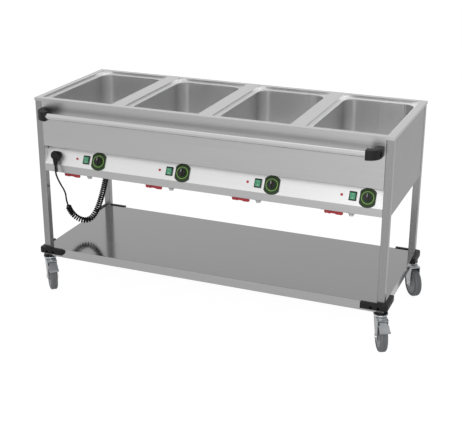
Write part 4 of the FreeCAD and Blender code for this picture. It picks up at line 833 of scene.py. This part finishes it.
# %% Screws
LEG_CORNER = Vector((0.778, 0.2925, 0.18))
SEAT_OUT, SCREWS_INWARD = 6.0, (20.0, 50.0)
SOCKET_RADIUS, SOCKET_FLOOR = 2.4, 0.8
CAP_SPOT = Vector((0.733, -0.3325, 0.824))
head_outline = [(2.3, 0), (4.6, 0), (4.6, 2.2), (3.9, 3.0), (2.7, 3.0), (2.3, 2.6)]
cap_outline = [(0, 0), (7.5, 0), (7.5, 2.2), (6.6, 3.1), (4.0, 3.5), (0, 3.5)]
form = bmesh.new()
for side in SIDES:
    for end in SIDES:
        corner = Vector((side * LEG_CORNER.x, end * LEG_CORNER.y, LEG_CORNER.z))
        for outward, inward in ((X_AXIS * side, -Y_AXIS * end), (Y_AXIS * end, -X_AXIS * side)):
            for away in SCREWS_INWARD:
                seat = corner + (outward * SEAT_OUT + inward * away) * MM
                lathe(form, head_outline, seat, outward, SCREW_STEPS)
                prism(form, hexagon(SOCKET_RADIUS), seat, -outward.cross(Z_AXIS), Z_AXIS, 0, SOCKET_FLOOR)
    lathe(form, cap_outline, Vector((side * CAP_SPOT.x, CAP_SPOT.y, CAP_SPOT.z)), X_AXIS * side, SMALL_STEPS)
# The black oxide is a real dark finish, and it also stands in for painted shade in the screws' pockets.
screws = made(form, "socket_screws", "cabinet", "bright_steel", black_oxide, "fixing_screws")
print("screw faces", len(screws.data.polygons))

# %% [markdown]
# The plug is parked on a round holder on the panel. Its head is a moulded drum with a grip
# groove, and its ribbed neck keeps the cord from kinking. Both are turned, the drum out of the
# panel and the neck along the cord, and the ribs of the neck shrink with it towards its tip.

# %% Plug
PLUG_FACE = 8.0
NECK_ROOT, NECK_TIP, NECK_FROM = 15.0, 6.5, 16.0
NECK_RIB, NECK_GROOVE = 4.0, 1.6
RIB_END_SHARE, GROOVE_SHARES = 0.55, (0.65, 0.95)
drum_outline = [(0, PLUG_FACE), (17, PLUG_FACE), (18.4, 9), (19, 11), (19, 19), (17.8, 20.5), (17.8, 22.5),
                (19, 24), (18.6, 30), (16.5, 34.5), (12, 37.4), (6, 38), (0, 38)]
neck_outline = [(0, 0), (NECK_ROOT, 0)]
along = NECK_FROM
while along < NECK_LONG:
    wide = NECK_ROOT + (NECK_TIP - NECK_ROOT) * along / NECK_LONG
    neck_outline += [(wide, along), (wide, along + RIB_END_SHARE * NECK_RIB)]
    neck_outline += [(wide - NECK_GROOVE, along + share * NECK_RIB) for share in GROOVE_SHARES]
    along += NECK_RIB
neck_outline = [(radius, min(height, NECK_LONG)) for radius, height in neck_outline]
neck_outline += [(CORD_RADIUS / MM, NECK_LONG), (0, NECK_LONG)]
form = bmesh.new()
lathe(form, drum_outline, plug_spot, panel_out)
lathe(form, neck_outline, plug_middle, neck_way, SMALL_STEPS)
plug = made(form, "parked_plug", "cabinet", "plug_rubber", plug_rubber, "plug")
print("plug faces", len(plug.data.polygons))

# %% [markdown]
# The gland in the tray grips the other end of the cord. Under the tray it has a nut and a ribbed
# nose that narrows to the cord, and above the tray a second nut on its thread.

# %% Gland
GLAND_NUT, GLAND_NUT_RADIUS, TRAY_WALL = 7.0, 13.0, 1.5
THREAD_RADIUS, THREAD_TALL = 8.0, 10.5
NOSE_TALL, NOSE_ROOT, NOSE_TIP, NOSE_RIBS = 22.0, 11.7, 7.4, 5
NOSE_RIB, NOSE_GROOVE, GROOVE_IN = (0.4, 2.6), (3.0, 4.2), 1.3
entry = curl_route[-1] + Z_AXIS * (NOSE_TALL + GLAND_NUT) * MM
nose_outline = [(0, -GLAND_NUT), (NOSE_ROOT, -GLAND_NUT)]
for step in range(NOSE_RIBS):
    wide = NOSE_ROOT + (NOSE_TIP - NOSE_ROOT) * step / NOSE_RIBS
    top = -GLAND_NUT - NOSE_TALL * step / NOSE_RIBS
    nose_outline += [(wide, top - down) for down in NOSE_RIB]
    nose_outline += [(wide - GROOVE_IN, top - down) for down in NOSE_GROOVE]
nose_outline += [(NOSE_TIP - GROOVE_IN, -GLAND_NUT - NOSE_TALL), (0, -GLAND_NUT - NOSE_TALL)]
thread_outline = [(0, 0), (THREAD_RADIUS, 0), (THREAD_RADIUS, THREAD_TALL), (0, THREAD_TALL)]
form = bmesh.new()
lathe(form, nose_outline, entry, Z_AXIS, SMALL_STEPS)
for low in (-GLAND_NUT, TRAY_WALL):
    prism(form, hexagon(GLAND_NUT_RADIUS), entry, X_AXIS, Y_AXIS, low, low + GLAND_NUT)
lathe(form, thread_outline, entry, Z_AXIS, SMALL_STEPS)
gland = made(form, "cord_gland", "cabinet", "case_plastic", case_abs, "cable_gland")
print("gland faces", len(gland.data.polygons))

# %% [markdown]
# The cord stands for two solids of the frame, the curly stretch and the straight one. It is fixed
# to the cabinet at both ends, in the gland and in the parked plug, so it moves with no joint.

# %% Cord on the trolley
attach(cord, "cabinet")
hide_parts("cord_coil", "cord_lead")
cord.data.materials.append(cord_rubber)

# %% [markdown]
# The record names a material slot for each solid, so the finishes go on by slot. Sheets whose
# belt ran another way, and a few pieces that are made in another way than their neighbours in
# the slot, get finishes of their own.

# %% Finishes on the solids
slot_finish = {
    "satin_steel": steel_long, "bright_steel": bright_zinc, "fascia_steel": steel_panel,
    "nickel_brass": nickel, "sheath_steel": sheath, "bumper_plastic": bumper_nylon,
    "handle_plastic": handle_nylon, "bezel_plastic": bezel_abs, "knob_plastic": knob_phenolic,
    "switch_black": switch_nylon, "rocker_green": rocker_pc, "lamp_red": lamp_pc,
    "lever_red": lever_vinyl, "case_plastic": case_abs, "plug_rubber": plug_rubber,
    "cord_rubber": cord_rubber, "zinc_steel": zinc, "wheel_plastic": wheel_pp, "tyre_rubber": tyre_rubber}
# The wells' and the shelf's own finishes also carry painted light and shade.
own_finish = {"legs": steel_up, "cabinet_skins": steel_deep, "shelf": steel_shelf, "handle_bar": steel_bar,
              "drain_pipes": steel_bar, "caster_stems": black_oxide,
              **{f"brake_pedal_{name}": dull_zinc for name in BRAKED_CASTERS},
              **{f"basin_{number}": steel_well for number in WELL_NUMBERS}}
slots = {row["node"]: row["material_slot"] for row in frame["record"]["subparts"]}
for name, solid in solids.items():
    solid.data.materials.clear()
    solid.data.materials.append(own_finish.get(name, slot_finish[slots[name]]))
print("finished", len(slots), "solids in", len(set(slots.values())), "slots")

# %% [markdown]
# Sharp CAD edges catch no light, and real folds and mouldings are a little round. A small bevel
# goes on top as a modifier and leaves the solid as it is. The mesh comes with its corners apart,
# so a weld joins them first. The widths are millimetres.

# %% Soft edges on the solids
WELD_GAP, SOFT_STEPS = 0.000002, 2
soft_edges = {"front_apron": 0.8, "shelf": 1.2, "knob_bezels": 0.9, "switch_frames": 0.7,
              "plug_holder": 0.8,
              **{f"thermostat_knob_{number}": 0.8 for number in WELL_NUMBERS},
              **{f"switch_rocker_{number}": 0.6 for number in WELL_NUMBERS},
              **{f"caster_fork_{name}": 1.0 for name in CASTERS},
              **{f"brake_pedal_{name}": 0.8 for name in BRAKED_CASTERS}}
for name, wide in soft_edges.items():
    weld = solids[name].modifiers.new("weld", "WELD")
    weld.merge_threshold = WELD_GAP
    bevel = solids[name].modifiers.new("soft_edge", "BEVEL")
    bevel.width = wide * MM
    bevel.segments = SOFT_STEPS
    bevel.angle_limit = SHARP
    bevel.harden_normals = True
print("soft edges on", len(soft_edges), "solids")
